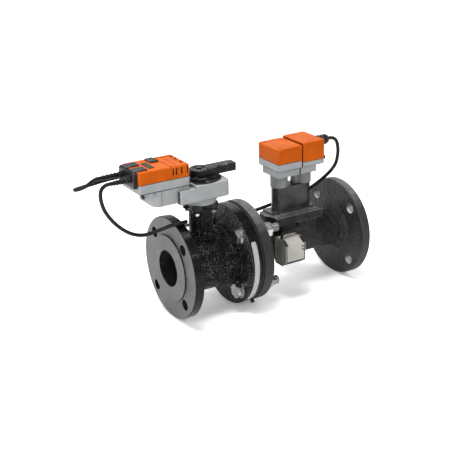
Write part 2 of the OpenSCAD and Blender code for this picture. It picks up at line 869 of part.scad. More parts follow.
// Lower grey tray: chamfered corner, open above and toward the gear case
module housing_tray() {
    h1 = block_top - block_step;
    wi = cover_w / 2 - shell_wall;
    color(light_grey) difference() {
        union() {
            translate([0, 0, tray_z]) linear_extrude(tray_h)
                tray_outline(tray_x0, block_x0, cover_w / 2, tray_corner);
            upright(block_x0 - overrun, cover_x1, cover_w, edge_r / 3, edge_r, h1, band_z);
            translate([tray_x0 - clip_size[0], -cover_w / 2, band_z - clip_size[2]])
                cube(clip_size);
        }
        translate([0, 0, tray_z + shell_wall]) linear_extrude(tray_h)
            tray_outline(tray_x0 + shell_wall, block_x0 - shell_wall, wi, tray_corner - shell_wall / 2);
        translate([block_x0 - shell_wall - overrun, -wi, h1 + fit_gap - overrun])
            cube([cover_x1 - shell_wall - block_x0 + shell_wall + overrun, 2 * wi,
                band_z - h1 + 2 * overrun]);
        translate([block_x0 - shell_wall - overrun, -compound_r, output_gear_z + output_gear_t])
            cube([shell_wall + 2 * overrun, 2 * compound_r,
                h1 + overrun - output_gear_z - output_gear_t]);
    }
}

// Plan of the tray from x0 to x1 with its two outer corners cut in facets
module tray_outline(x0, x1, w, c) {
    polygon([[x0, -w + c * 1.4], [x0 + c * 0.35, -w + c * 0.45], [x0 + c, -w], [x1, -w],
        [x1, w], [x0 + c, w], [x0 + c * 0.35, w - c * 0.45], [x0, w - c * 1.4]]);
}

// Light grey band, with a floor where it overhangs the tray and posts for the board
module housing_band() {
    color(light_grey) {
        difference() {
            upright(cover_x0, cover_x1, cover_w, edge_r, edge_r, band_z, cover_z);
            upright(cover_x0 + shell_wall, cover_x1 - shell_wall, cover_w - 2 * shell_wall,
                edge_r / 2, edge_r / 2, band_z + shell_wall, cover_z + overrun);
            translate([tray_x0 + shell_wall, -cover_w / 2 + shell_wall + tray_corner / 2,
                band_z - overrun])
                cube([cover_x1 - tray_x0 - 2 * shell_wall,
                    cover_w - 2 * shell_wall - tray_corner, shell_wall + 2 * overrun]);
        }
        for (s = [-1, 1], i = [0, 1])
            translate([cover_x0 + shell_wall + edge_r + board_post_r + i * (board_l - 2 * board_post_r),
                s * (cover_w / 2 - shell_wall - 2 * edge_r - board_post_r), band_z + shell_wall / 2])
                cylinder(h = board_post_h + shell_wall / 2, r = board_post_r, $fn = hull_fn);
    }
}

button_x = cover_x0 + cover_l * button_x_share - button_size[0] / 2;
button_y = cover_w * button_y_share - button_size[1] / 2;

// Orange cover: vents on the near side, recessed panel, slots, button well
module motor_cover() {
    px = cover_x1 - cover_l * panel_l_share - edge_r;
    pw = cover_w * panel_w_share;
    color(orange) difference() {
        bevelled(cover_x0, cover_x1, cover_w, edge_r, cover_z, cover_top, cover_bevel);
        upright(cover_x0 + shell_wall, cover_x1 - shell_wall, cover_w - 2 * shell_wall,
            edge_r / 2, edge_r / 2, cover_z - overrun, cover_top - shell_wall);
        for (s = vent_shares)
            translate([cover_x0 + cover_l * s, -cover_w / 2 - overrun,
                cover_top - vent_h - 2 * cover_bevel])
                cube([vent_w, shell_wall + 2 * overrun, vent_h]);
        translate([px, -pw / 2, cover_top - panel_depth])
            cube([cover_l * panel_l_share - edge_r, pw, panel_depth + overrun]);
        for (s = groove_shares)
            translate([px + cover_l * panel_l_share * s, -pw / 2, cover_top - 2 * panel_depth])
                cube([groove_w, pw, panel_depth + overrun]);
        for (s = top_slot_shares)
            translate([cover_x1 - edge_r - top_slot[0],
                (s - 0.5) * (cover_w - 2 * edge_r) - top_slot[1] / 2, cover_top - shell_wall])
                cube([top_slot[0], top_slot[1] - cover_bevel, shell_wall + overrun]);
        on_cover_screws()
            cylinder(h = shell_wall + overrun, r = cover_screw_r + fit_gap, $fn = hull_fn);
        translate([button_x - button_gap, button_y - button_gap, cover_top - shell_wall - overrun])
            cube([button_size[0] + 2 * button_gap, button_size[1] + 2 * button_gap,
                shell_wall + 2 * overrun]);
        translate([cover_x0 + cover_l * window_x_share - window_size[0] / 2,
            cover_w * window_y_share - window_size[1] / 2, cover_top - window_size[2] / 2])
            cube([window_size[0], window_size[1], window_size[2]]);
    }
}

// Push button that frees the gears, in its well
module release_button() {
    color(black) hull() {
        translate([button_x, button_y, cover_top + button_up - button_size[2]])
            cube([button_size[0], button_size[1], button_size[2] - lever_edge]);
        translate([button_x + lever_edge, button_y + lever_edge,
            cover_top + button_up - lever_edge])
            cube([button_size[0] - 2 * lever_edge, button_size[1] - 2 * lever_edge, lever_edge]);
    }
}

// Dark window of the status lights
module status_window() {
    color("dimgray") translate([cover_x0 + cover_l * window_x_share - window_size[0] / 2 + fit_gap,
        cover_w * window_y_share - window_size[1] / 2 + fit_gap, cover_top - window_size[2] / 2])
        cube([window_size[0] - 2 * fit_gap, window_size[1] - 2 * fit_gap, window_size[2]]);
}

// Screws of the orange cover
module cover_screws() {
    color(zinc) on_cover_screws() cylinder(h = cover_screw_h, r = cover_screw_r, $fn = hull_fn);
}

// Seats of the two screws in the cover, a little under its top
module on_cover_screws() {
    for (s = [-1, 1])
        translate([cover_x0 + cover_l * cover_screw_share, s * (cover_w / 2 - 1.6 * edge_r),
            cover_top - shell_wall + cover_screw_h / 2]) children();
}

// Connector modules

// Centre of a connector module across the cover, near side first
function conn_y(side) = side * (conn_w + conn_gap) / 2 - conn_gap / 4;

// Module with a hooked tongue over the cover and a cable nipple
module connector(side, drop, shift) {
    y0 = conn_y(side) - conn_w / 2;
    z0 = cover_top + conn_lip - conn_drop;
    color(black) {
        hull() {
            translate([cover_x0 - conn_t, y0, z0]) cube([conn_t, conn_w, conn_drop - conn_r]);
            translate([cover_x0 - conn_t + conn_r, y0 + conn_r, z0 + conn_drop - conn_r])
                cube([conn_t - conn_r, conn_w - 2 * conn_r, conn_r]);
        }
        translate([cover_x0 - overrun, y0 + conn_r, cover_top])
            cube([conn_tongue + overrun, conn_w - 2 * conn_r, conn_lip]);
        translate([cover_x0 - conn_t - nipple_l, conn_y(side) + shift, cover_top - drop])
            rotate([0, 90, 0]) cylinder(h = nipple_l + overrun, r = nipple_r, $fn = hull_fn);
    }
}

module connector_near() {
    connector(-1, conn_port_near_drop, conn_port_near_shift);
}

module connector_far() {
    connector(1, conn_port_far_drop, conn_port_far_shift);
}

// Tapered strain relief with ribs, along -X from a connector
module boot(side, drop, shift, l) {
    color(black)
        translate([cover_x0 - conn_t - nipple_l, conn_y(side) + shift, cover_top - drop])
        rotate([0, -90, 0]) rotate_extrude($fn = hull_fn) polygon(concat([[0, 0]],
            [for (i = [0 : boot_ribs - 1], k = [0 : 3])
                let (s = (i + k / 4) / boot_ribs, r = boot_r - (boot_r - cable_r) * s * 0.6)
                [k < 2 ? r : r * boot_rib_share, l * s]],
            [[cable_r * 1.1, l], [0, l]]));
}

module boot_near() {
    boot(-1, conn_port_near_drop, conn_port_near_shift, boot_l);
}

module boot_far() {
    boot(1, conn_port_far_drop, conn_port_far_shift, far_boot_l);
}

// Hand lever and end stops

// Black plate with two stop blocks on top of the gear case
module stop_plate() {
    color(black) translate([stem_x, 0, block_top]) difference() {
        union() {
            linear_extrude(stop_plate_t) intersection() {
                circle(r = stop_plate_r, $fn = round_fn);
                translate([step_x - stem_x + block_step, -block_w / 2])
                    square([block_front + stem_x - step_x - 2 * block_step, block_w]);
            }
            for (a = [0, 90 + 2 * stop_half]) rotate(stop_angle + a)
                translate([stop_r - stop_block[0] / 2, -stop_block[1] / 2, 0])
                    cube([stop_block[0], stop_block[1], lever_gap - part_gap]);
        }
        translate([0, 0, -overrun]) cylinder(h = 3 * stop_plate_t, r = stop_hole_r,
            $fn = round_fn);
        on_stop_screws() translate([0, 0, -overrun])
            cylinder(h = 3 * stop_plate_t, r = stop_screw_r, $fn = hull_fn);
    }
}

stop_angle = 202;
// Angle between the finger and a stop block when they touch, with a little play
stop_half = asin((stop_block[1] + stop_finger_w) / (2 * stop_r - stop_block[0]))
    + stop_clear_angle;

// Places of the screws of the stop plate, from the stem axis
module on_stop_screws() {
    for (a = [45 + stop_half, 225 + stop_half]) rotate(stop_angle + a)
        translate([stop_plate_r - stop_block[0] * 0.8, 0, 0]) children();
}

// Screws that clamp the stops
module stop_screws() {
    color(zinc) translate([stem_x, 0, block_top]) on_stop_screws()
        cylinder(h = stop_plate_t + stop_screw_h / 2, r = stop_screw_r - fit_gap, $fn = hull_fn);
}

// Lever: round hub that narrows into a straight arm, with a stop finger below the hub
module lever() {
    neck_end = stem_x + lever_l - cap_l - cap_seam;
    color(black) difference() {
        union() {
            translate([stem_x, 0, lever_z])
                cylinder(h = lever_h - lever_edge, d = hub_d, $fn = round_fn);
            translate([stem_x, 0, lever_z + lever_h - lever_edge])
                cylinder(h = lever_edge, r1 = hub_d / 2, r2 = hub_d / 2 - lever_edge,
                    $fn = round_fn);
            translate([0, 0, lever_z]) linear_extrude(lever_h - lever_edge) polygon([
                [stem_x, -hub_d / 2], [stem_x + hub_d / 4, -hub_d * 0.43],
                [stem_x + hub_d * 0.9, -lever_w / 2], [neck_end, -lever_w / 2],
                [neck_end, lever_w / 2], [stem_x + hub_d * 0.9, lever_w / 2],
                [stem_x + hub_d / 4, hub_d * 0.43], [stem_x, hub_d / 2]]);
            translate([stem_x + hub_d / 2 - lever_edge, -lever_w / 2 + lever_edge, lever_z])
                cube([neck_end - stem_x - hub_d / 2 + lever_edge, lever_w - 2 * lever_edge,
                    lever_h]);
            translate([stem_x, 0, block_top + stop_plate_t + part_gap])
                rotate(stop_angle + stop_half)
                translate([shaft_r + fit_gap, -stop_finger_w / 2, 0])
                    cube([stop_finger_reach - shaft_r - fit_gap, stop_finger_w,
                        lever_gap - stop_plate_t - part_gap + stop_finger_t]);
        }
        translate([stem_x, 0, lever_z + lever_h - hub_dish_depth])
            cylinder(h = hub_dish_depth + overrun, r = hub_dish_r, $fn = round_fn);
        translate([stem_x, 0, lever_z - overrun])
            cylinder(h = lever_socket_h + overrun, r = shaft_r + fit_gap, $fn = round_fn);
        translate([stem_x, 0, lever_z])
            cylinder(h = lever_h, r = lever_screw_r / 2 + fit_gap, $fn = round_fn);
    }
}

// End cap of the lever arm
module lever_cap() {
    x0 = stem_x + lever_l - cap_l;
    color(black) hull() {
        translate([x0 - cap_seam, -lever_w / 2 + lever_edge, lever_z + lever_edge])
            cube([cap_seam, lever_w - 2 * lever_edge, lever_h - 2 * lever_edge]);
        translate([x0, -lever_w / 2, lever_z]) cube([cap_l / 2, lever_w, lever_h - lever_edge]);
        translate([x0, -lever_w / 2 + lever_edge, lever_z])
            cube([cap_l / 2, lever_w - 2 * lever_edge, lever_h]);
        for (s = [-1, 1])
            translate([x0 + cap_l - lever_tip_r, s * (lever_w / 2 - lever_tip_r), lever_z])
                cylinder(h = lever_h - lever_edge, r = lever_tip_r, $fn = hull_fn);
    }
}

// Screw that holds the lever to the shaft
module lever_screw() {
    z0 = lever_z + lever_h - hub_dish_depth;
    color(zinc) translate([stem_x, 0, 0]) {
        translate([0, 0, z0]) cylinder(h = lever_screw_h, r = lever_screw_r, $fn = hull_fn);
        translate([0, 0, lever_z + lever_socket_h])
            cylinder(h = z0 - lever_z - lever_socket_h, r = lever_screw_r / 2, $fn = hull_fn);
    }
}

// Flow sensor

// Casting: flanges, measuring pipe, saddle, plate and transducer bosses
module sensor_body() {
    fr = flange_d / 2;
    pr = meter_pipe_d / 2;
    l1 = joint_x + flange_t;
    l2 = face_to_face - flange_t;
    color(casting) difference() {
        union() {
            turned() polygon([[0, joint_x], [fr - flange_edge, joint_x], [fr, joint_x + flange_edge],
                [fr, l1 - flange_edge], [fr - flange_edge, l1], [pr + 2 * meter_fillet, l1],
                [pr + meter_fillet / 2, l1 + meter_fillet], [pr, l1 + 3 * meter_fillet],
                [pr, l2 - 3 * meter_fillet], [pr + meter_fillet / 2, l2 - meter_fillet],
                [pr + 2 * meter_fillet, l2], [fr - flange_edge, l2], [fr, l2 + flange_edge],
                [fr, face_to_face - raised_face_t - flange_edge],
                [fr - flange_edge, face_to_face - raised_face_t],
                [raised_face_d / 2, face_to_face - raised_face_t],
                [raised_face_d / 2, face_to_face], [0, face_to_face]]);
            translate([meter_mid, 0, 0]) {
                translate([-saddle_l / 2, -saddle_w / 2, 0])
                    cube([saddle_l, saddle_w, plate_top_h - plate_t / 2]);
                translate([0, 0, plate_top_h - plate_t]) linear_extrude(plate_t)
                    polygon([for (p = plate_plan_shares) [p[0] * plate_l, p[1] * plate_w]]);
                for (a = [0, 180]) rotate(a) {
                    translate([-pod_shift - pod_boss_l / 2, -pod_boss, -pod_boss_h / 2])
                        cube([pod_boss_l, pod_boss, pod_boss_h]);
                    translate([-side_panel[0] * 0.65, -plate_w / 2 + side_panel[1] / 2,
                        pod_h / 2 + side_panel_gap])
                        cube([side_panel[0], plate_w / 2,
                            plate_top_h - plate_t / 2 - pod_h / 2 - side_panel_gap]);
                }
            }
        }
        turned() polygon([[0, joint_x - overrun], [bore_d / 2, joint_x - overrun],
            [bore_d / 2, l1 / 2 + joint_x / 2], [meter_bore_d / 2, l1 + cone_l / 2],
            [meter_bore_d / 2, l2 - cone_l / 2], [bore_d / 2, l2 / 2 + face_to_face / 2],
            [bore_d / 2, face_to_face + overrun], [0, face_to_face + overrun]]);
        translate([meter_mid - plate_l / 2 + plate_rail[0], -plate_w / 2 + plate_rail[0],
            plate_top_h - plate_rail[1]])
            cube([plate_l, plate_rail[1], plate_rail[1] + overrun]);
        bolt_holes(joint_x - overrun, l1 + overrun, joint_hole_d);
        bolt_holes(l2 - overrun, face_to_face + overrun, bolt_hole_d);
    }
}

// The two transducer covers stand on opposite sides, turned half round
module on_both_sides() {
    for (a = [0, 180])
        translate([meter_mid, 0, 0]) rotate(a) translate([-pod_shift, 0, 0]) children();
}

// Section of a transducer cover in Y and Z, grown by g
module pod_section(g) {
    h = pod_h / 2 + g;
    y1 = -pod_reach - g;
    polygon([[-pod_boss, -h + pod_back_bevel], [-pod_boss - pod_back_bevel, -h],
        [y1 + 1.6 * pod_bevel, -h], [y1, -h + pod_bevel], [y1, h - pod_bevel],
        [y1 + 1.6 * pod_bevel, h], [-pod_boss - pod_back_bevel, h], [-pod_boss, h - pod_back_bevel]]);
}

// Slice of a transducer cover between two distances from its left end
module pod_slice(from, to, g) {
    translate([from - pod_l / 2, 0, 0]) rotate([90, 0, 90]) linear_extrude(to - from)
        pod_section(g);
}

// Cream covers with their screw holes
module pod_covers() {
    x0 = pod_plate_t + pod_seal_t;
    color(cream) on_both_sides() difference() {
        pod_slice(x0, pod_l - x0, 0);
        for (s = [0.25, 0.6]) translate([pod_l * pod_screw_share, -pod_reach - overrun,
            (pod_h / 2 - pod_bevel) * s])
            rotate([-90, 0, 0]) cylinder(h = 2 * overrun + pod_screw_r, r = pod_screw_r,
                $fn = hull_fn);
    }
}

// Black seals between covers and end plates
module pod_gaskets() {
    color(black) on_both_sides() {
        pod_slice(pod_plate_t, pod_plate_t + pod_seal_t, -pod_seal_in / 3);
        pod_slice(pod_l - pod_plate_t - pod_seal_t, pod_l - pod_plate_t, -pod_seal_in / 3);
    }
}

// End plates of the transducer covers
module pod_end_plates() {
    color([0.45, 0.45, 0.38]) on_both_sides() {
        pod_slice(0, pod_plate_t, 0);
        pod_slice(pod_l - pod_plate_t, pod_l, 0);
    }
}

// Route of a transducer lead from the plate's underside to the cover, from the cover's centre
lead_route = [[26, -36, 39.5], [26, -41.5, 39.5], [21, -45, 38.5], [12, -46.5, 37],
    [1, -47.5, 35.5], [-9, -49, 35], [-15, -51, 34], [-18, -52, 30.5], [-18, -52, 25]];

module pod_leads() {
    color(black) on_both_sides() tube(lead_route, lead_r, cable_fn, 3);
}

// Black pillar with its foot, standing on the plate
module sensor_pillar() {
    color(black) {
        upright(pillar_x - pillar_l / 2 - foot_lead, pillar_x + pillar_l / 2 + foot_rim,
            pillar_w + 2 * foot_rim, foot_rim, foot_rim, plate_top_h, plate_top_h + foot_t);
        translate([pillar_x, 0, plate_top_h]) linear_extrude(pillar_top_h - plate_top_h)
            obround(pillar_l, pillar_w);
    }
}

// Round sleeves that carry the transmitter, and the slim conduit between them
module pillar_sleeves() {
    color(light_grey) translate([pillar_x, 0, pillar_top_h]) {
        for (s = [-1, 1]) translate([s * (pillar_l - pillar_w) / 2, 0, 0]) {
            cylinder(h = sleeve_h, r = sleeve_r, $fn = round_fn);
        }
        translate([conduit_shift, 0, 0]) cylinder(h = sleeve_h, r = conduit_r, $fn = round_fn);
    }
}

// Lower tray and light band of one transmitter half
module transmitter_case(x0, x1, tray0, tray1, low, band_h) {
    color(light_grey) {
        upright(tray0, tray1, case_tray_w, edge_r, edge_r, case_z, case_z + case_tray_h - low);
        hull() {
            upright(tray0, tray1, case_tray_w, edge_r, edge_r, case_z + case_tray_h - low - overrun,
                case_z + case_tray_h - low);
            upright(x0, x1, case_w, edge_r, edge_r, case_z + case_tray_h + case_step,
                case_z + case_tray_h + case_step + overrun);
        }
        upright(x0, x1, case_w, edge_r, edge_r, case_band_z, case_band_z + band_h);
    }
}

module sensor_case_left() {
    transmitter_case(case_x0, case_x1 - case_gap, case_x0 + case_tray_gap, case_x1 - case_gap, 0,
        case_band_h);
}

module sensor_case_right() {
    transmitter_case(case_x1, case_end, case_x1, case_end - 3 * case_tray_gap, 0,
        case_band_h - case_right_low);
}

// Left orange cover with its screw recesses
module sensor_cap_left() {
    x1 = case_x1 - case_gap;
    color(orange) difference() {
        bevelled(case_x0, x1, case_w, edge_r, case_cap_z, case_cap_z + cap_left_h, cover_bevel);
        on_cap_screws() translate([0, 0, -cap_screw_r])
            cylinder(h = cap_screw_r + overrun, r = cap_screw_r + part_gap, $fn = hull_fn);
        for (s = [-1, 1]) translate([x1 - 4 * cap_slot[0] + s * cap_slot[0], cap_slot[1],
            case_cap_z + cap_left_h - cap_slot[0]])
            cube([cap_slot[0] / 2, cap_slot[1], cap_slot[0] + overrun]);
    }
}

// Places of the two screws on the left cover
module on_cap_screws() {
    for (s = [-1, 1])
        translate([case_x0 + 3 * edge_r, s * (case_w / 2 - 3 * edge_r), case_cap_z + cap_left_h])
            children();
}

module sensor_cap_right() {
    z0 = case_band_z + case_band_h - case_right_low;
    color(orange)
        bevelled(case_x1, case_end, case_w, edge_r, z0, z0 + cap_right_h, cover_bevel);
}

module sensor_screws() {
    color(zinc) on_cap_screws() translate([0, 0, -cap_screw_r])
        cylinder(h = cap_screw_r * 0.9, r = cap_screw_r, $fn = hull_fn);
}

gland_z = case_band_z + case_band_h - case_right_low + cap_right_h - gland_drop;

// Cable gland: hexagon, dome nut and collar round the cable
module cable_gland() {
    color(black) translate([case_end, 0, gland_z]) rotate([0, 90, 0]) {
        hex_bar(2 * gland_r * 0.92, gland_hex_l);
        rotate_extrude($fn = round_fn) polygon([[0, 0], [gland_r * 0.85, 0],
            [gland_r * 0.85, gland_l * gland_nut_share], [gland_r, gland_l * gland_nut_share],
            [gland_r, gland_l * 0.8], [gland_r * 0.75, gland_l * 0.95],
            [cable_r * 1.5, gland_l], [0, gland_l]]);
    }
}

module blank_plug() {
    color(black) translate([case_end, plug_y, gland_z + gland_drop - plug_drop])
        rotate([0, 90, 0]) {
            cylinder(h = plug_l, r = plug_r * 0.8, $fn = hull_fn);
            translate([0, 0, plug_l / 3]) cylinder(h = plug_l / 3, r = plug_r, $fn = hull_fn);
        }
}

// Swept tubes

// Point on a smooth curve through four points, at share t between the middle two
function curve_point(a, b, c, d, t) =
    (2 * b + (c - a) * t + (2 * a - 5 * b + 4 * c - d) * t * t
    + (3 * b - a - 3 * c + d) * t * t * t) / 2;
// Route with k steps between each pair of points
function smooth(p, k) = let (n = len(p)) concat(
    [for (i = [0 : n - 2], j = [0 : k - 1])
        curve_point(i == 0 ? 2 * p[0] - p[1] : p[i - 1], p[i], p[i + 1],
            i == n - 2 ? 2 * p[n - 1] - p[n - 2] : p[i + 2], j / k)],
    [p[n - 1]]);
function unit(v) = v / norm(v);
// Sideways directions, each carried on from the one before, so the tube doesn't twist
function sides(t, i = 0, found = []) = i == len(t) ? found :
    let (s = i == 0 ? cross(t[0], abs(t[0][2]) < 0.9 ? [0, 0, 1] : [1, 0, 0]) : found[i - 1])
    sides(t, i + 1, concat(found, [unit(s - t[i] * (s * t[i]))]));

// Tube of radius r along a route, with n sides
module tube(route, r, n, steps) {
    p = smooth(route, steps);
    m = len(p);
    last = len(route) - 1;
    t = [for (i = [0 : m - 1]) unit(i == 0 ? route[1] - route[0]
        : i == m - 1 ? route[last] - route[last - 1] : p[i + 1] - p[i - 1])];
    u = sides(t);
    points = [for (i = [0 : m - 1], j = [0 : n - 1])
        let (v = cross(t[i], u[i]), a = 360 * j / n)
        p[i] + r * (u[i] * cos(a) + v * sin(a))];
    faces = concat(
        [for (i = [0 : m - 2], j = [0 : n - 1])
            [i * n + j, (i + 1) * n + j, i * n + (j + 1) % n]],
        [for (i = [0 : m - 2], j = [0 : n - 1])
            [i * n + (j + 1) % n, (i + 1) * n + j, (i + 1) * n + (j + 1) % n]],
        [for (j = [1 : n - 2]) [0, j, j + 1]],
        [for (j = [1 : n - 2]) [(m - 1) * n, (m - 1) * n + j + 1, (m - 1) * n + j]]);
    polyhedron(points, faces);
}

// Points of a route, each given from a place that it follows
function follow(place, steps) = [for (s = steps) place + s];

// Route of the cable from the transmitter's gland, round behind the valve, over the
// inlet flange and up to the near connector
gland_tip = [case_end + gland_l, 0, gland_z];
near_tip = [cover_x0 - conn_t - nipple_l - boot_l, conn_y(-1) + conn_port_near_shift,
    cover_top - conn_port_near_drop];
sensor_route = concat(
    follow(gland_tip, [[0, 0, 0], [6, 0, 0], [12.5, 0.4, -1.3], [18.5, 1, -5], [23, 2, -10.5],
        [26.5, 3.5, -18.5], [29, 5, -29], [30, 7.5, -41]]),
    [[371.5, 10.5, 121], [364, 15, 107], [351, 20, 94], [334, 27, 80], [315, 36, 67],
        [290, 44, 58], [262, 47, 54], [240, 50, 50]],
    follow([0, flange_d / 2, 0], [[215, -30.5, 41], [190, -12.5, 32], [168, 2.5, 26],
        [145, 8.5, 24], [120, 7.5, 25], [98, -1.5, 30], [76, -18.5, 40], [58, -42.5, 53]]),
    follow([0, 0, flange_d / 2], [[45, 24, -26.5], [36, -2, -13.5], [27, -22, -4],
        [14.5, -31.5, 0], [-1, -28, -1.5], [-14, -16, -9.5], [-29, -5, -17]]),
    [[-45, 0, 73], [-64, 2, 79], [-83, 2, 93]],
    follow(near_tip, [[0, 10, -67], [-12, 9, -47], [-18, 6.5, -28], [-19.3, 3.5, -14],
        [-17.3, 1.7, -6.5], [-12.5, 0.5, -1.7], [-6, 0, 0], [0, 0, 0]]));

module sensor_cable() {
    color(black) tube(sensor_route, cable_r, cable_fn, 2);
}

// Place and size of the coil and its tie
tie_w = 4;
tie_t = 0.8;
coil_centre = [110, 158.5, cable_r + tie_t + part_gap + fit_gap - flange_d / 2];
coil_outer_r = 36;
coil_inner_r = 29;
coil_loops = 2;
coil_rise = 7.4;
coil_fn = 6;
coil_steps = 24;

// Route of the supply cable: out of the far boot, round a wide bend behind the cover,
// down behind the neck to the floor and up to the coil
far_tip = [cover_x0 - conn_t - nipple_l - far_boot_l, conn_y(1) + conn_port_far_shift,
    cover_top - conn_port_far_drop];
supply_route = concat(
    follow(far_tip, [[0, 0, 0], [-6.5, 0, 0], [-13.5, 0.3, -2.8], [-21, 1.5, -7.7],
        [-28.5, 5, -12], [-34, 11.5, -15.6], [-36, 19.5, -18.6], [-33, 28.5, -21.2],
        [-25.5, 37, -23.5], [-13, 43.5, -24.7], [4, 46.5, -24.2], [26, 48, -22.6]]),
    [[-62, 63, 161], [-36, 63, 160], [0, 63, 150], [40, 65, 135], [72, 66, 119]],
    follow([0, end_hub_d / 2, 0], [[90, 8.5, 101], [98, 5.5, 78], [99, 4.5, 50],
        [99, 4.5, 20], [99, 6.5, -12], [96, 14.5, -42], [89, 30.5, -66]]),
    follow(coil_centre, [[-30, -48.5, 6.1], [-34, -32.5, 0.8], [-coil_outer_r, -20, 0],
        [-coil_outer_r, -13, 0], [-coil_outer_r, -2 * cable_r, 0]]));

module supply_cable() {
    color(black) tube(supply_route, cable_r, cable_fn, 2);
}

// Coil of the cable's spare length: one loop in on the floor, one loop out on top of it.
// It starts where the route ends and climbs in the half turn where the spiral reverses.
coil_half = coil_loops * 180;

// Point of the coil at angle a from its start
function coil_point(a) =
    let (r = coil_outer_r - (coil_outer_r - coil_inner_r) * (1 - abs(a - coil_half) / coil_half),
        t = min(1, max(0, (a - coil_half + 90) / 180)))
    coil_centre + [-r * cos(a), r * sin(a), coil_rise * (3 - 2 * t) * t * t];
coil_path = concat([coil_point(0) - [0, 2 * cable_r, 0]],
    [for (i = [0 : coil_loops * coil_steps]) coil_point(i * 360 / coil_steps)],
    [coil_point(coil_half * 2) + [0, 2 * cable_r, 0]]);

// Least gap between two stretches of the coil at least a third of a loop apart
coil_gap = min([for (i = [0 : len(coil_path) - 1], j = [i + coil_steps / 3 : len(coil_path) - 1])
    norm(coil_path[i] - coil_path[j])]) - 2 * cable_r;
echo(coil_gap = coil_gap);

module supply_coil() {
    color(black) tube(coil_path, cable_r, coil_fn, 1);
}

// Tie round both layers of the coil
module coil_tie() {
    w = coil_outer_r - coil_inner_r + 2 * cable_r + 2 * part_gap;
    h = coil_rise + 2 * cable_r + 2 * part_gap;
    mid = (coil_outer_r + coil_inner_r) / 2;
    color("dimgray") translate(coil_centre + [mid, 0, coil_rise / 2]) rotate([90, 0, 0])
        linear_extrude(tie_w, center = true) difference() {
            square([w + 2 * tie_t, h + 2 * tie_t], center = true);
            square([w, h], center = true);
        }
}

// Bare wires that leave the end of the coil's cable
wire_r = 1.1;
wire_l = 34;
ferrule_r = 1.5;
ferrule_l = 9;

module wire_ends() {
    color("gray") translate(coil_path[len(coil_path) - 1])
        for (a = [0 : 120 : 240]) rotate([-90, 0, 0]) rotate(a) translate([cable_r / 2, 0, 0]) {
            cylinder(h = wire_l, r = wire_r, $fn = hull_fn);
            translate([0, 0, wire_l - overrun])
                cylinder(h = ferrule_l, r = ferrule_r, $fn = hull_fn);
        }
}

valve_body();
body_end();
seat_rings();
flow_cup();
ball();
stem();
stem_packing();
gland_ring();
flange_gasket();
flange_bolts();
flange_washers();
flange_nuts();
mounting_bracket();
bracket_screws();
base_bowl();
gear_case();
output_gear();
compound_gear();
motor_pinion();
gear_pin();
gear_motor();
circuit_board();
housing_tray();
housing_band();
motor_cover();
connector_near();
connector_far();
boot_near();
boot_far();
release_button();
status_window();
cover_screws();
stop_plate();
stop_screws();
lever();
lever_cap();
lever_screw();
sensor_body();
pod_covers();
pod_gaskets();
pod_end_plates();
pod_leads();
sensor_pillar();
pillar_sleeves();
sensor_case_left();
sensor_case_right();
sensor_cap_left();
sensor_cap_right();
sensor_screws();
cable_gland();
blank_plug();
sensor_cable();
supply_cable();
supply_coil();
coil_tie();
wire_ends();
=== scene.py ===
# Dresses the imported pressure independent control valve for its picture.
# Everything is in metres, in the valve's own frame: X along the pipe, Z up.
import json
import math
import bpy
import numpy as np
from mathutils import Matrix, Vector


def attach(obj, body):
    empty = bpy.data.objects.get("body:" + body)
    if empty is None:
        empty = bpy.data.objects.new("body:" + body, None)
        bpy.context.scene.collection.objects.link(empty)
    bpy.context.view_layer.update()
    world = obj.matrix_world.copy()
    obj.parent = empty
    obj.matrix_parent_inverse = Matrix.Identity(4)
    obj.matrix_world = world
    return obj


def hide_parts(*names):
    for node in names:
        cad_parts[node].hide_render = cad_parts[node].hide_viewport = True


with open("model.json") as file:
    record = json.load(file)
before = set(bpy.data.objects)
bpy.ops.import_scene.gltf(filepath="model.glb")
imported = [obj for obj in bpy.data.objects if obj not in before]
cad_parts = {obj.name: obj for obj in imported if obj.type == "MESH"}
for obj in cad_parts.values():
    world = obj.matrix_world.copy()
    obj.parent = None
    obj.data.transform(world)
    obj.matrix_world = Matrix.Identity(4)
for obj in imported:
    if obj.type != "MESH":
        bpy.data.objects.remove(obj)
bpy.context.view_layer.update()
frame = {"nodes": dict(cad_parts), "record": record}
nodes = frame["nodes"]
print("frame loaded:", len(nodes), "nodes")

mm = 0.001              # metres, for routes that are written in millimetres
sharpAngle = 50         # degrees between two faces, past which their edge is drawn sharp
flangeRadius = 0.0925   # metres, of the rims of all flanges
podMiddle = 0.2535      # metres, X of the middle between the two transducer covers


# Camera, at the height and side that the picture was taken from
cameraSetup = {
    "azimuth": -30.932,      # degrees round the valve, 0 looks along +Y
    "elevation": 21.514,     # degrees above the horizon
    "roll": -1.325,          # degrees, turned about the view
    "place": (-0.68656, -1.34211, 0.67189),
    "lens": 75.46,           # mm
    "sensor": 36,            # mm wide
    "clip": (0.05, 50),
}


def makeCamera(setup):
    # back is the unit vector from the valve to the camera; right is level; up is back x right.
    # The roll turns right and up about back.
    a, e, r = (math.radians(setup[k]) for k in ("azimuth", "elevation", "roll"))
    back = Vector((math.sin(a) * math.cos(e), -math.cos(a) * math.cos(e), math.sin(e)))
    level = Vector((math.cos(a), math.sin(a), 0))
    above = back.cross(level)
    right = level * math.cos(r) + above * math.sin(r)
    up = above * math.cos(r) - level * math.sin(r)
    lens = bpy.data.cameras.new("camera")
    lens.sensor_width = setup["sensor"]
    lens.lens = setup["lens"]
    lens.clip_start, lens.clip_end = setup["clip"]
    eye = bpy.data.objects.new("camera", lens)
    bpy.context.scene.collection.objects.link(eye)
    turn = Matrix((right, up, back)).transposed().to_4x4()
    eye.matrix_world = Matrix.Translation(setup["place"]) @ turn
    bpy.context.scene.camera = eye


makeCamera(cameraSetup)
print("camera placed")


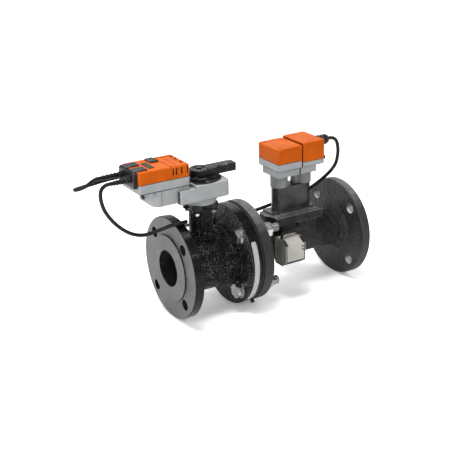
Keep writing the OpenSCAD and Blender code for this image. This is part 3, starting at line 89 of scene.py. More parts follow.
# Surfaces from grids of points
def surface(name, grid, body, closed=True):
    # grid[i, j] is a point: i runs along the piece and j round it. Neighbours are joined by
    # four-sided faces; closed joins the last column to the first and fills both rims.
    n, m = grid.shape[:2]
    at = np.arange(n * m).reshape(n, m)
    there = np.roll(at, -1, axis=1) if closed else at[:, 1:]
    here = at if closed else at[:, :-1]
    quads = np.stack([here[:-1], there[:-1], there[1:], here[1:]], axis=-1).reshape(-1, 4)
    faces = quads.tolist()
    if closed:
        faces += [at[0][::-1].tolist(), at[-1].tolist()]
    mesh = bpy.data.meshes.new(name)
    mesh.from_pydata(grid.reshape(-1, 3).tolist(), [], faces)
    mesh.polygons.foreach_set("use_smooth", np.ones(len(faces), bool))
    mesh.set_sharp_from_angle(angle=math.radians(sharpAngle))
    piece = bpy.data.objects.new(name, mesh)
    bpy.context.scene.collection.objects.link(piece)
    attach(piece, body)
    return piece


def smoothRoute(points, steps):
    # Catmull-Rom curve through the points: each stretch is the cubic that passes through its
    # two ends with slopes of half the distance between the neighbours on both sides.
    p = np.asarray(points, float)
    p = np.vstack([2 * p[0] - p[1], p, 2 * p[-1] - p[-2]])
    t = (np.arange(steps) / steps)[None, :, None]
    a, b, c, d = (p[k:len(p) - 3 + k, None] for k in range(4))
    curve = (2 * b + (c - a) * t + (2 * a - 5 * b + 4 * c - d) * t ** 2
             + (3 * b - a - 3 * c + d) * t ** 3) / 2
    return np.vstack([curve.reshape(-1, 3), p[-2]])


def tubeGrid(path, radius, sides):
    # A circle in the cross plane of each point of the path. The first side vector is carried
    # from ring to ring and made square to the new direction, so the tube doesn't twist.
    step = np.gradient(path, axis=0)
    step[0], step[-1] = path[1] - path[0], path[-1] - path[-2]
    along = step / np.linalg.norm(step, axis=1)[:, None]
    side = np.cross(along[0], (0, 0, 1) if abs(along[0][2]) < 0.9 else (1, 0, 0))
    u = []
    for way in along:
        side = side - way * (side @ way)
        side = side / np.linalg.norm(side)
        u.append(side)
    u = np.array(u)
    v = np.cross(along, u)
    turn = np.linspace(0, 2 * math.pi, sides, endpoint=False)[None, :, None]
    ring = u[:, None] * np.cos(turn) + v[:, None] * np.sin(turn)
    return path[:, None] + radius * ring


# The two cables
sensorCable = {
    "diameter": 0.0065,
    "route": [  # mm: gland, behind the valve, over the inlet flange, near boot
        (343, 0, 177), (349, 0, 177), (355.5, 0.4, 175.7), (361.5, 1, 172), (366, 2, 166.5),
        (369.5, 3.5, 158.5), (372, 5, 148), (373, 7.5, 136), (371.5, 10.5, 121),
        (364, 15, 107), (351, 20, 94), (334, 27, 80), (315, 36, 67), (290, 44, 58),
        (262, 47, 54), (240, 50, 50), (215, 62, 41), (190, 80, 32), (168, 95, 26),
        (145, 101, 24), (120, 100, 25), (98, 91, 30), (76, 74, 40), (58, 50, 53),
        (45, 24, 66), (36, -2, 79), (27, -22, 88.5), (14.5, -31.5, 92.5), (-1, -28, 91),
        (-14, -16, 83), (-29, -5, 75.5), (-45, 0, 73), (-64, 2, 79), (-83, 2, 93),
        (-99, 2, 111), (-111, 1, 131), (-117, -1.5, 150), (-118.3, -4.5, 164),
        (-116.3, -6.3, 171.5), (-111.5, -7.5, 176.3), (-105, -8, 178), (-99, -8, 178)],
}
supplyCable = {
    "diameter": 0.0065,
    "route": [  # mm: far boot, round behind the cover, down behind the neck to the floor
        (-110, 14, 183), (-116.5, 14, 183), (-123.5, 14.3, 180.2), (-131, 15.5, 175.3),
        (-138.5, 19, 171), (-144, 25.5, 167.4), (-146, 33.5, 164.4), (-143, 42.5, 161.8),
        (-135.5, 51, 159.5), (-123, 57.5, 158.3), (-106, 60.5, 158.8), (-84, 62, 160.4),
        (-62, 63, 161), (-36, 63, 160), (0, 63, 150), (40, 65, 135), (72, 66, 119),
        (90, 64, 101), (98, 61, 78), (99, 60, 50), (99, 60, 20), (99, 62, -12),
        (96, 70, -42), (89, 86, -66), (80, 110, -82), (76, 126, -87.3), (74, 138.5, -88.1)],
    "coilCentre": (110, 158.5, -88.1),  # mm, as the next four
    "coilOuter": 36, "coilInner": 29, "coilRise": 7.4, "coilTail": 6.5,
    "coilLoops": 2, "coilSteps": 96,    # steps in each loop
    "leadPoints": 6,                    # of the straight lead into the coil, with its ends
}
cableMesh = {"steps": 6, "sides": 20}   # stretches between route points, and sides round


def coilRoute(c):
    # A flat spiral that winds inwards for half its turns and out again. Where it reverses it
    # climbs past one cable thickness, on a smooth step over half a turn.
    a = np.linspace(0, 360 * c["coilLoops"], c["coilSteps"] * c["coilLoops"] + 1)
    half = 180 * c["coilLoops"]
    r = c["coilOuter"] - (c["coilOuter"] - c["coilInner"]) * (1 - abs(a - half) / half)
    t = np.clip((a - half + 90) / 180, 0, 1)
    turn = np.radians(a)
    flat = np.stack([-r * np.cos(turn), r * np.sin(turn),
                     c["coilRise"] * (3 - 2 * t) * t * t], axis=1) + c["coilCentre"]
    return flat, flat[-1] + (0, c["coilTail"], 0)


def makeCord(name, path, c, standsFor, **facts):
    # A round tube along the path, in place of the plain solids
    piece = surface(name, tubeGrid(path, c["diameter"] / 2, cableMesh["sides"]), "valve")
    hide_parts(*standsFor)
    return piece


def makeCables():
    # The supply cable's route runs into its coil by a straight lead.
    path = smoothRoute(sensorCable["route"], cableMesh["steps"]) * mm
    sensor = makeCord("sensorCable", path, sensorCable, ["sensor_cable"],
                      far_end="object", lay="loose")
    way = smoothRoute(supplyCable["route"], cableMesh["steps"])
    coil, last = coilRoute(supplyCable)
    lead = np.linspace(way[-1], coil[0], supplyCable["leadPoints"])[1:-1]
    path = np.vstack([way, lead, coil, last]) * mm
    supply = makeCord("supplyCable", path, supplyCable, ["supply_cable", "supply_coil"],
                      far_end="bare", lay="coiled", with_pieces=["coil_tie", "wire_ends"])
    return [sensor, supply]


cables = makeCables()
print("cables made")


# Short leads of the two transducers
leads = {
    "diameter": 0.0054,
    "route": [  # mm from the middle, near side; the far one is turned by half a turn
        (-4.5, -36, 39.5), (-4.5, -41.5, 39.5), (-9.5, -45, 38.5), (-18.5, -46.5, 37),
        (-29.5, -47.5, 35.5), (-39.5, -49, 35), (-45.5, -51, 34), (-48.5, -52, 30.5),
        (-48.5, -52, 25)],
}


def makeLeads():
    # Half a turn about the pair's middle changes the signs of X and Y.
    pieces = []
    for name, way in (("leadNear", 1), ("leadFar", -1)):
        route = np.array(leads["route"]) * (way, way, 1) * mm + (podMiddle, 0, 0)
        path = smoothRoute(route, cableMesh["steps"])
        pieces.append(makeCord(name, path, leads, ["pod_leads"], far_end="object",
                               lay="taut"))
    return pieces


cables += makeLeads()


# Bare label strip round the rim of the valve's outlet flange
rimLabel = {
    "x": (0.1205, 0.1313), "gap": 0.00001, "thick": 0.00008,
    "from": -49, "to": 31,            # degrees up from the near side
    "steps": 60, "rows": 8,
    "endSteps": 3, "narrowing": 0.5,  # steps that round a short end, and their share
}


def makeRimLabel(c):
    # Part of a cylinder about the pipe: the angle runs from the near side upwards, and the
    # other parameter across the rim. The strip's short ends are rounded by narrowing it.
    count = np.arange(c["steps"] + 1)
    a = np.radians(np.linspace(c["from"], c["to"], len(count)))
    end = np.minimum(count, count[::-1]) / c["endSteps"]
    narrow = np.sqrt(1 - np.clip(1 - end, 0, 1) ** 2 * c["narrowing"])
    s = np.linspace(-0.5, 0.5, c["rows"] + 1)
    x = sum(c["x"]) / 2 + (c["x"][1] - c["x"][0]) * narrow[:, None] * s[None]
    r = flangeRadius + c["gap"]
    grid = np.stack([x, -r * np.cos(a)[:, None] + 0 * x, r * np.sin(a)[:, None] + 0 * x],
                    axis=-1)
    piece = surface("rimLabel", grid, "valve", closed=False)
    thick = piece.modifiers.new("thick", "SOLIDIFY")
    thick.thickness = c["thick"]
    thick.offset = 1
    return piece


label = makeRimLabel(rimLabel)
print("leads and label made")


# Latch under the cover's front end
latch = {
    "middle": (-0.0432, -0.0045, 0.1420), "half": (0.0022, 0.0042, 0.0030),
    "square": 0.35,                   # 1 is an ellipsoid, and small is boxy
    "rings": 25, "columns": 40,
    "pole": 0.002,                    # radians left open at each pole
}


def bent(value, square):
    # The size raised to the squareness, with its sign kept
    return np.sign(value) * np.abs(value) ** square


def makeLatch(c):
    # Superellipsoid: each coordinate is its half size times the bent sines and cosines of
    # the two angles. The first stops a hair before the poles, where flat faces close it.
    limit = math.pi / 2 - c["pole"]
    a = np.linspace(-limit, limit, c["rings"])[:, None]
    b = np.linspace(0, 2 * math.pi, c["columns"], endpoint=False)[None]
    e = c["square"]
    grid = np.stack([bent(np.cos(a), e) * bent(np.cos(b), e),
                     bent(np.cos(a), e) * bent(np.sin(b), e),
                     bent(np.sin(a), e) + 0 * b], axis=-1) * c["half"] + c["middle"]
    return surface("trayLatch", grid, "valve")


trims = [makeLatch(latch)]
print("latch made")


# Shader nodes
def put(tree, kind, feeds=None, **settings):
    # Adds a shader node. feeds maps an input's name or number to a value or another node's
    # output; settings are the node's own properties.
    node = tree.nodes.new("ShaderNode" + kind)
    for k, v in settings.items():
        setattr(node, k, v)
    for k, v in (feeds or {}).items():
        if isinstance(v, bpy.types.NodeSocket):
            tree.links.new(v, node.inputs[k])
        else:
            node.inputs[k].default_value = v
    return node


def axes(tree, vector):
    # The X, Y and Z of a vector
    return put(tree, "SeparateXYZ", {0: vector}).outputs


def facingAxes(tree):
    # The three parts of the surface's normal
    return axes(tree, put(tree, "NewGeometry").outputs["Normal"])


def noise(tree, where, scale, detail=3, rough=0.5):
    # Soft lumps of about one over the scale in metres, with values round a half
    return put(tree, "TexNoise", {"Vector": where, "Scale": scale, "Detail": detail,
                                  "Roughness": rough}).outputs["Fac"]


def spread(tree, value, low, high, start=0, end=1):
    # Straight line that takes low to start and high to end, held flat beyond both
    return put(tree, "MapRange", {"Value": value, "From Min": low, "From Max": high,
                                  "To Min": start, "To Max": end}).outputs["Result"]


def maths(tree, operation, a, b=0.0):
    # One operation on two numbers or outputs, of which some use only the first
    return put(tree, "Math", {0: a, 1: b}, operation=operation).outputs[0]


def times(tree, first, *others):
    # The product of all factors
    for other in others:
        first = maths(tree, "MULTIPLY", first, other)
    return first


def distance(tree, a, b):
    # Root of the sum of the two squares
    return maths(tree, "SQRT", maths(tree, "ADD", times(tree, a, a), times(tree, b, b)))


def blendColour(tree, share, a, b):
    # The first colour at a share of 0, and the second at 1
    return put(tree, "Mix", {0: share, 6: a, 7: b}, data_type="RGBA").outputs[2]


def rgb(colour):
    # The colour with a fourth number, since nothing here is see-through
    return tuple(colour) + (1.0,)


def zoneMask(tree, where, axis, low, high, edge=0.0001):
    # 1 where the coordinate lies between low and high, and 0 from the edge's width outside
    v = axes(tree, where)["XYZ".index(axis)]
    return times(tree, spread(tree, v, low - edge, low), spread(tree, v, high + edge, high))


# Finishes
def startFinish(name):
    # An empty material with its Object coordinates, its shader and its output
    mat = bpy.data.materials.new(name)
    mat.use_nodes = True
    tree = mat.node_tree
    tree.nodes.clear()
    where = put(tree, "TexCoord").outputs["Object"]
    shader = put(tree, "BsdfPrincipled")
    put(tree, "OutputMaterial", {"Surface": shader.outputs[0]})
    return mat, tree, where, shader


wearAndSheen = {
    "patches": (0.35, 0.65), "flecksAndGlints": (0.57, 0.70),     # ranges of the noise
    "groupScale": 0.9, "groups": (0.40, 0.62, 0.12, 1),  # scales are parts of the patches'
    "patchinessScale": 3, "patchiness": (0.35, 0.6),
    "roughScale": 2.3, "roughness": (0.3, 0.7),
    "edge": (0.995, 0.90),                               # dot product of the two normals
    "edgeRadius": 0.0004, "ridgeRadius": 0.0006, "samples": 4,
}


def rounded(tree, radius):
    # The normal, turned smoothly across the edges within that radius
    return put(tree, "Bevel", {"Radius": radius}, samples=wearAndSheen["samples"]).outputs[0]


def edgeShare(tree, soft):
    # 0 on flat ground and 1 on a sharp outer or inner edge: one minus the dot product of the
    # normal and the rounded normal, stretched.
    flat = put(tree, "NewGeometry").outputs["Normal"]
    dot = put(tree, "VectorMath", {0: soft, 1: flat}, operation="DOT_PRODUCT").outputs["Value"]
    return spread(tree, dot, *wearAndSheen["edge"])


def raised(tree, height, depth, normal):
    # The normal, tilted by the slope of height times depth
    return put(tree, "Bump", {"Height": height, "Distance": depth, "Strength": 1.0,
                              "Normal": normal}).outputs[0]


def makeFinish(name, c):
    # Colour and tone are mixed by a soft noise; fine grains lighten it in groups, which on the
    # painted iron are painted glints; roughness varies with a second noise; lumps and grains
    # raise the surface; edges turn to the edge tint, partly as wear and partly as painted
    # highlights.
    mat, tree, where, shader = startFinish(name)
    patch = c["patch"]
    patches = spread(tree, noise(tree, where, patch, detail=4), *wearAndSheen["patches"])
    colour = blendColour(tree, patches, rgb(c["colour"]), rgb(c["tone"]))
    grains = noise(tree, where, c["grain"], detail=2)
    # Light grains in groups: on the glossy painted iron they are painted glints of light.
    if c.get("fleckAndGlint"):
        groups = spread(tree, noise(tree, where, patch * wearAndSheen["groupScale"]), *wearAndSheen["groups"])
        share = times(tree, groups, spread(tree, grains, *wearAndSheen["flecksAndGlints"]), c["fleckAndGlintShare"])
        colour = blendColour(tree, share, colour, rgb(c["fleckAndGlint"]))
    soft = rounded(tree, c.get("edgeRadius", wearAndSheen["edgeRadius"]))
    # Edge tint, broken up by a noise: partly wear and partly painted highlights along the
    # edges.
    if c.get("edge"):
        patchiness = spread(tree, noise(tree, where, patch * wearAndSheen["patchinessScale"]), *wearAndSheen["patchiness"])
        share = times(tree, edgeShare(tree, soft), patchiness, c["edgeShare"])
        colour = blendColour(tree, share, colour, rgb(c["edge"]))
    rough = spread(tree, noise(tree, where, patch * wearAndSheen["roughScale"]),
                   *wearAndSheen["roughness"], *c["rough"])
    lumps = raised(tree, noise(tree, where, c["lump"]), c["lumpHeight"], soft)
    tree.links.new(colour, shader.inputs["Base Color"])
    tree.links.new(rough, shader.inputs["Roughness"])
    tree.links.new(raised(tree, grains, c["grainHeight"], lumps), shader.inputs["Normal"])
    shader.inputs["Metallic"].default_value = c.get("metal", 0.0)
    shader.inputs["Specular IOR Level"].default_value = c.get("specular", 0.5)
    shader.inputs["Coat Weight"].default_value = c.get("coat", 0.0)
    shader.inputs["Coat Roughness"].default_value = c.get("coatRough", 0.2)
    mat["look"] = name
    return mat


# Each finish's edge tint is partly wear and partly painted highlights along the edges; on the
# olive paint it is darker.
finishes = {
    # The painted iron's light flecks are painted glints of light.
    "paintedIron": dict(  # glossy black paint on sand-cast iron
        colour=(0.003, 0.003, 0.0033), tone=(0.010, 0.010, 0.011), patch=70, grain=520,
        fleckAndGlint=(0.42, 0.42, 0.425), fleckAndGlintShare=0.95, edge=(0.34, 0.34, 0.345), edgeShare=0.6,
        rough=(0.12, 0.30), lump=150, lumpHeight=0.0085, grainHeight=0.0030, specular=0.2,
        edgeRadius=0.0014),
    "mattIron": dict(  # thin dark primer on a casting
        colour=(0.010, 0.010, 0.0105), tone=(0.026, 0.026, 0.027), patch=60, grain=800,
        fleckAndGlint=(0.14, 0.14, 0.142), fleckAndGlintShare=0.45, edge=(0.42, 0.42, 0.42), edgeShare=0.8,
        rough=(0.28, 0.46), lump=170, lumpHeight=0.0036, grainHeight=0.0010, specular=0.34,
        edgeRadius=0.0016),
    "blackSteel": dict(
        colour=(0.006, 0.006, 0.0065), tone=(0.016, 0.016, 0.017), patch=90, grain=1500,
        edge=(0.26, 0.26, 0.27), edgeShare=0.5, rough=(0.24, 0.4), lump=500,
        lumpHeight=0.00015, grainHeight=0.00006, specular=0.35, edgeRadius=0.0009),
    "zincSteel": dict(
        colour=(0.40, 0.41, 0.42), tone=(0.60, 0.60, 0.585), patch=220, grain=2400,
        edge=(0.85, 0.85, 0.85), edgeShare=0.5, rough=(0.20, 0.34), lump=300,
        lumpHeight=0.00005, grainHeight=0.00001, metal=1.0, edgeRadius=0.0004),
    "stainless": dict(
        colour=(0.55, 0.55, 0.55), tone=(0.63, 0.62, 0.60), patch=60, grain=3000,
        rough=(0.12, 0.22), lump=700, lumpHeight=0.00004, grainHeight=0.00001, metal=1.0),
    "greyPlastic": dict(
        colour=(0.29, 0.30, 0.305), tone=(0.325, 0.335, 0.34), patch=30, grain=2600,
        edge=(0.52, 0.53, 0.54), edgeShare=0.6, rough=(0.40, 0.54), lump=900,
        lumpHeight=0.00005, grainHeight=0.00005, specular=0.35, edgeRadius=0.0013),
    "sleevePlastic": dict(
        colour=(0.185, 0.19, 0.19), tone=(0.215, 0.22, 0.22), patch=40, grain=2600,
        edge=(0.4, 0.41, 0.41), edgeShare=0.5, rough=(0.42, 0.56), specular=0.35, lump=900,
        lumpHeight=0.00005, grainHeight=0.00005, edgeRadius=0.001),
    "orangePlastic": dict(
        colour=(0.445, 0.090, 0.002), tone=(0.51, 0.112, 0.004), patch=30, grain=2400,
        edge=(0.82, 0.25, 0.05), edgeShare=0.65, rough=(0.30, 0.42), specular=0.08, lump=900,
        lumpHeight=0.00004, grainHeight=0.00005, edgeRadius=0.0017),
    "blackPlastic": dict(
        colour=(0.007, 0.007, 0.0085), tone=(0.016, 0.016, 0.018), patch=20, grain=2600,
        edge=(0.50, 0.50, 0.51), edgeShare=0.75, rough=(0.22, 0.38), lump=900,
        lumpHeight=0.00005, grainHeight=0.00005, specular=0.24, edgeRadius=0.0011),
    "windowPlastic": dict(
        colour=(0.010, 0.008, 0.006), tone=(0.028, 0.020, 0.014), patch=60, grain=900,
        rough=(0.06, 0.14), lump=200, lumpHeight=0.00002, grainHeight=0.000004, coat=0.6,
        coatRough=0.05),
    "creamPlastic": dict(
        colour=(0.36, 0.352, 0.322), tone=(0.42, 0.408, 0.376), patch=40, grain=2200,
        edge=(0.85, 0.84, 0.80), edgeShare=0.5, rough=(0.40, 0.52), lump=800,
        lumpHeight=0.00005, grainHeight=0.00004, edgeRadius=0.0008),
    "olivePaint": dict(
        colour=(0.235, 0.235, 0.20), tone=(0.30, 0.30, 0.255), patch=60, grain=1800,
        edge=(0.16, 0.16, 0.14), edgeShare=0.4, rough=(0.36, 0.5), lump=600,
        lumpHeight=0.0001, grainHeight=0.00004),
    "satinBlack": dict(
        colour=(0.014, 0.014, 0.014), tone=(0.078, 0.078, 0.077), patch=26, grain=2000,
        edge=(0.22, 0.22, 0.225), edgeShare=0.5, rough=(0.22, 0.36), lump=500,
        lumpHeight=0.00008, grainHeight=0.00004, specular=0.4, edgeRadius=0.0012),
    "blackRubber": dict(
        colour=(0.005, 0.005, 0.005), tone=(0.012, 0.012, 0.012), patch=80, grain=2200,
        rough=(0.34, 0.5), specular=0.3, lump=700, lumpHeight=0.00008, grainHeight=0.00005),
    "gasketSheet": dict(
        colour=(0.012, 0.012, 0.012), tone=(0.030, 0.030, 0.028), patch=200, grain=2600,
        rough=(0.6, 0.8), lump=900, lumpHeight=0.0001, grainHeight=0.00008),
    "sealPlastic": dict(
        colour=(0.70, 0.69, 0.66), tone=(0.80, 0.79, 0.76), patch=60, grain=2200,
        rough=(0.35, 0.5), lump=500, lumpHeight=0.00004, grainHeight=0.00003),
    "gearPlastic": dict(
        colour=(0.66, 0.63, 0.55), tone=(0.74, 0.71, 0.63), patch=80, grain=2200,
        edge=(0.88, 0.86, 0.80), edgeShare=0.4, rough=(0.32, 0.45), lump=700,
        lumpHeight=0.00004, grainHeight=0.00003, edgeRadius=0.0003),
    "motorSteel": dict(
        colour=(0.42, 0.42, 0.41), tone=(0.55, 0.54, 0.52), patch=120, grain=2200,
        edge=(0.8, 0.8, 0.8), edgeShare=0.4, rough=(0.26, 0.4), lump=500,
        lumpHeight=0.00005, grainHeight=0.00003, metal=1.0),
    "boardGreen": dict(
        colour=(0.010, 0.10, 0.035), tone=(0.016, 0.15, 0.055), patch=400, grain=1200,
        fleckAndGlint=(0.35, 0.32, 0.12), fleckAndGlintShare=0.35, rough=(0.25, 0.4), lump=500,
        lumpHeight=0.00006, grainHeight=0.00003),
    "tiePlastic": dict(
        colour=(0.02, 0.02, 0.02), tone=(0.035, 0.035, 0.035), patch=200, grain=2000,
        rough=(0.3, 0.45), lump=900, lumpHeight=0.00005, grainHeight=0.00003),
    "labelPaper": dict(
        colour=(0.34, 0.345, 0.345), tone=(0.40, 0.40, 0.395), patch=120, grain=2600,
        fleckAndGlint=(0.45, 0.45, 0.44), fleckAndGlintShare=0.25, rough=(0.32, 0.5), lump=500,
        lumpHeight=0.00005, grainHeight=0.00002),
}

made = {name: makeFinish(name, c) for name, c in finishes.items()}
print("finishes made:", len(made))


def partsOf(mat):
    # A finish's tree, its Object coordinates, and its shader
    tree = mat.node_tree
    shader = next(n for n in tree.nodes if n.type == "BSDF_PRINCIPLED")
    where = next(n for n in tree.nodes if n.type == "TEX_COORD").outputs["Object"]
    return tree, where, shader


def restyle(name, suffix):
    # A copy of a made finish, so that one node's marks stay off the others
    mat = made[name].copy()
    mat.name = name + suffix
    return (mat, *partsOf(mat))


def over(tree, shader, name, share, value):
    # Mixes a new value over what already feeds the shader's input
    socket = shader.inputs[name]
    old = socket.links[0].from_socket
    if name == "Base Color":
        mixed = blendColour(tree, share, old, value)
    elif name == "Normal":
        mixed = put(tree, "Mix", {0: share, 4: old, 5: value}, data_type="VECTOR").outputs[1]
    else:
        mixed = put(tree, "Mix", {0: share, 2: old, 3: value}, data_type="FLOAT").outputs[0]
    tree.links.new(mixed, socket)


def ridges(tree, height, depth):
    # Bump from a height over the rounded surface, without the finish's own lumps
    return raised(tree, height, depth, rounded(tree, wearAndSheen["ridgeRadius"]))


def wave(tree, along, pitch):
    # Sine that repeats once in each pitch
    return maths(tree, "SINE", times(tree, along, 2 * math.pi / pitch))


# Turned, drilled and painted zones of the three castings, with painted light and shade in the
# bolt holes and painted shade at the flange joint
casting = {
    "square": (0.90, 0.96),           # how far a turned face's normal runs along the pipe
    "patch": 45, "patches": (0.3, 0.7), "pitch": 0.0011, "depth": 0.00005,
    "rimBlend": (0.0009, 0.0004), "rimShare": 0.85, "rimTone": 1.7,
    "bare": (0.098, 0.098, 0.10), "bareTone": (0.145, 0.145, 0.147),
    "bareRough": (0.30, 0.42),
    "ring": (0.07, 0.07, 0.07), "rings": (0.2, 1), "ringShare": 0.12,
    "fettled": [(0.094, 0.1168, 0.062), (0.014, 0.030, 0.060)],  # X from, to, radius
    "fettledBlend": (0.004, 0.003), "fettledShare": 0.85, "fettledRadius": 0.001,
    "bore": (0.016, 0.016, 0.017), "boreTone": (0.035, 0.035, 0.036),
    "boreBlend": (0.0008, 0.0002),
    "boltCircle": 0.0725, "holeRadius": 0.0097, "holeBlend": 0.0002,  # radii
    # Bolt hole walls: painted shade in the upper part, painted light in the lower part
    "holeShadeTint": (0.01, 0.01, 0.01), "holeLight": (0.003, -0.004, 0.1, 1.0),
    # Painted shade: black on the rim next to the gasket, in the gap between the two flanges
    "paintedJointShade": (0.1364, 0.1428), "paintedJointShadeTint": (0.002, 0.002, 0.002), "paintedJointShadeRough": 0.9,
}
castings = {  # the turned face's two values of X, the bore's radius, and tints
    "valve_body": dict(
        finish="paintedIron", suffix="Body", face=(-0.0002, 0.0032), bore=0.0327,
        rim=(0.003, 0.003, 0.0033), rimRough=(0.10, 0.17), holeLitTint=(0.02, 0.02, 0.02)),
    "body_end": dict(
        finish="paintedIron", suffix="End", face=None, bore=0.0327,
        rim=(0.003, 0.003, 0.0033), rimRough=(0.08, 0.14), holeLitTint=(0.02, 0.02, 0.02)),
    "sensor_body": dict(
        finish="mattIron", suffix="Meter", face=(0.3758, 0.3795), bore=0.0330,
        rim=(0.022, 0.022, 0.022), rimRough=(0.48, 0.60), holeLitTint=(0.75, 0.75, 0.76)),
}


def addCastingZones(body, c):
    # Rim: where the radius reaches the flange's, away from the flat faces. Face: bare turned
    # iron between two stations, with rings of a sine of the radius. Fettled: less of the
    # bump. Holes: within a hole's radius of the four bolt axes, folded into one by the sizes
    # of y and z; their walls get painted shade above and painted light below. Joint shade:
    # black painted shade on the rim next to the gasket, in the gap between the two joined
    # flanges.
    mat, tree, where, shader = restyle(body["finish"], body["suffix"])
    place = axes(tree, where)
    radius = distance(tree, place[1], place[2])
    square = spread(tree, maths(tree, "ABSOLUTE", facingAxes(tree)[0]), *c["square"])
    aside = maths(tree, "SUBTRACT", 1.0, square)
    patches = spread(tree, noise(tree, where, c["patch"], detail=4), *c["patches"])
    lines = wave(tree, place[0], c["pitch"])

    rim = times(tree, spread(tree, radius, *(flangeRadius - v for v in c["rimBlend"])), aside)
    rimTone = [v * c["rimTone"] for v in body["rim"]]
    over(tree, shader, "Base Color", times(tree, rim, c["rimShare"]),
         blendColour(tree, patches, rgb(body["rim"]), rgb(rimTone)))
    over(tree, shader, "Roughness", rim, spread(tree, patches, 0, 1, *body["rimRough"]))
    over(tree, shader, "Normal", rim, ridges(tree, lines, c["depth"]))

    if body["face"]:
        face = times(tree, zoneMask(tree, where, "X", *body["face"]), square)
        rings = wave(tree, radius, c["pitch"])
        bare = blendColour(tree, patches, rgb(c["bare"]), rgb(c["bareTone"]))
        bare = blendColour(tree, times(tree, spread(tree, rings, *c["rings"]),
                                       c["ringShare"]), bare, rgb(c["ring"]))
        over(tree, shader, "Base Color", face, bare)
        over(tree, shader, "Roughness", face, spread(tree, patches, 0, 1, *c["bareRough"]))
        over(tree, shader, "Normal", face, ridges(tree, rings, c["depth"]))
    alongPipe, acrossPipe = c["fettledBlend"]
    for low, high, most in c["fettled"]:  # ground smooth before painting
        ground = times(tree, zoneMask(tree, where, "X", low, high, alongPipe),
                       spread(tree, radius, most + acrossPipe, most), c["fettledShare"])
        over(tree, shader, "Normal", ground, rounded(tree, c["fettledRadius"]))
    inBore = spread(tree, radius, *(body["bore"] + v for v in c["boreBlend"]))
    over(tree, shader, "Base Color", inBore,
         blendColour(tree, patches, rgb(c["bore"]), rgb(c["boreTone"])))

    half = c["boltCircle"] / math.sqrt(2)
    dy, dz = (maths(tree, "SUBTRACT", maths(tree, "ABSOLUTE", place[k]), half)
              for k in (1, 2))
    drilled = times(tree, spread(tree, distance(tree, dy, dz), c["holeRadius"],
                                 c["holeRadius"] - c["holeBlend"]), aside)
    # Painted shade on the upper part of each hole wall, painted light on the lower part.
    lower = maths(tree, "SUBTRACT", place[2],
                  times(tree, maths(tree, "SIGN", place[2]), half))
    over(tree, shader, "Base Color", drilled, blendColour(
        tree, spread(tree, lower, *c["holeLight"]), rgb(c["holeShadeTint"]), rgb(body["holeLitTint"])))
    over(tree, shader, "Normal", drilled, ridges(tree, lines, c["depth"]))

    # Painted shade in the gap between the two joined flanges.
    paintedJointShade = zoneMask(tree, where, "X", *c["paintedJointShade"])
    over(tree, shader, "Base Color", paintedJointShade, rgb(c["paintedJointShadeTint"]))
    over(tree, shader, "Roughness", paintedJointShade, c["paintedJointShadeRough"])
    return mat


# Brush marks on the flow sensor's outlet flange, and a painted highlight on the top of its
# plate
streaksAndTopSheen = {
    "flangeFrom": 0.355, "flangeBlend": 0.002,      # X
    "away": (0.3, 0.6),
    "stretch": (1, 1, 0.06), "scale": 420, "marks": (0.40, 0.66, 0.12, 0.9),
    "markShare": 0.6, "mark": (0.055, 0.055, 0.055),
    "plateFrom": 0.0575, "plateBlend": 0.0008,      # Z
    "up": (0.6, 0.9),
    "patchinessScale": 120, "patchiness": (0.35, 0.65, 0.35, 0.9), "plateTopSheen": (0.20, 0.20, 0.20),
}


def addStreaksAndTopSheen(mat, c):
    # Noise that is stretched along Z, past a value of X; and the zone above a height where
    # the surface faces up, lightened in patches as a painted highlight.
    tree, where, shader = partsOf(mat)
    place, facing = axes(tree, where), facingAxes(tree)
    drawn = put(tree, "Mapping", {"Vector": where, "Scale": c["stretch"]}).outputs[0]
    marks = spread(tree, noise(tree, drawn, c["scale"], detail=5, rough=0.65), *c["marks"])
    flange = spread(tree, place[0], c["flangeFrom"], c["flangeFrom"] + c["flangeBlend"])
    away = maths(tree, "SUBTRACT", 1.0, spread(tree, facing[0], *c["away"]))
    over(tree, shader, "Base Color", times(tree, marks, away, flange, c["markShare"]),
         rgb(c["mark"]))
    # Painted highlight: the plate's upward faces are lightened in patches.
    plate = spread(tree, place[2], c["plateFrom"], c["plateFrom"] + c["plateBlend"])
    patchiness = spread(tree, noise(tree, where, c["patchinessScale"], detail=4, rough=0.6),
                    *c["patchiness"])
    over(tree, shader, "Base Color",
         times(tree, plate, spread(tree, facing[2], *c["up"]), patchiness), rgb(c["plateTopSheen"]))
    return mat


# Painted speckled highlights on the upper back of the valve's outlet flange
paintedBackSheen = {
    "from": 0.02, "blend": 0.04, "back": (-0.5, -0.9), "scale": 240,
    "speckledSheen": (0.42, 0.64, 0.05, 0.85), "tint": (0.15, 0.15, 0.15),
}


def addPaintedBackSheen(mat, c):
    # A fine noise past its middle, above a height, times how far the normal points back
    # along the pipe: light specks painted as speckled highlights on the upper back face
    tree, where, shader = partsOf(mat)
    back = spread(tree, facingAxes(tree)[0], *c["back"])
    upper = spread(tree, axes(tree, where)[2], c["from"], c["from"] + c["blend"])
    speckledSheen = spread(tree, noise(tree, where, c["scale"], detail=5, rough=0.7), *c["speckledSheen"])
    over(tree, shader, "Base Color", times(tree, back, upper, speckledSheen), rgb(c["tint"]))
    return mat


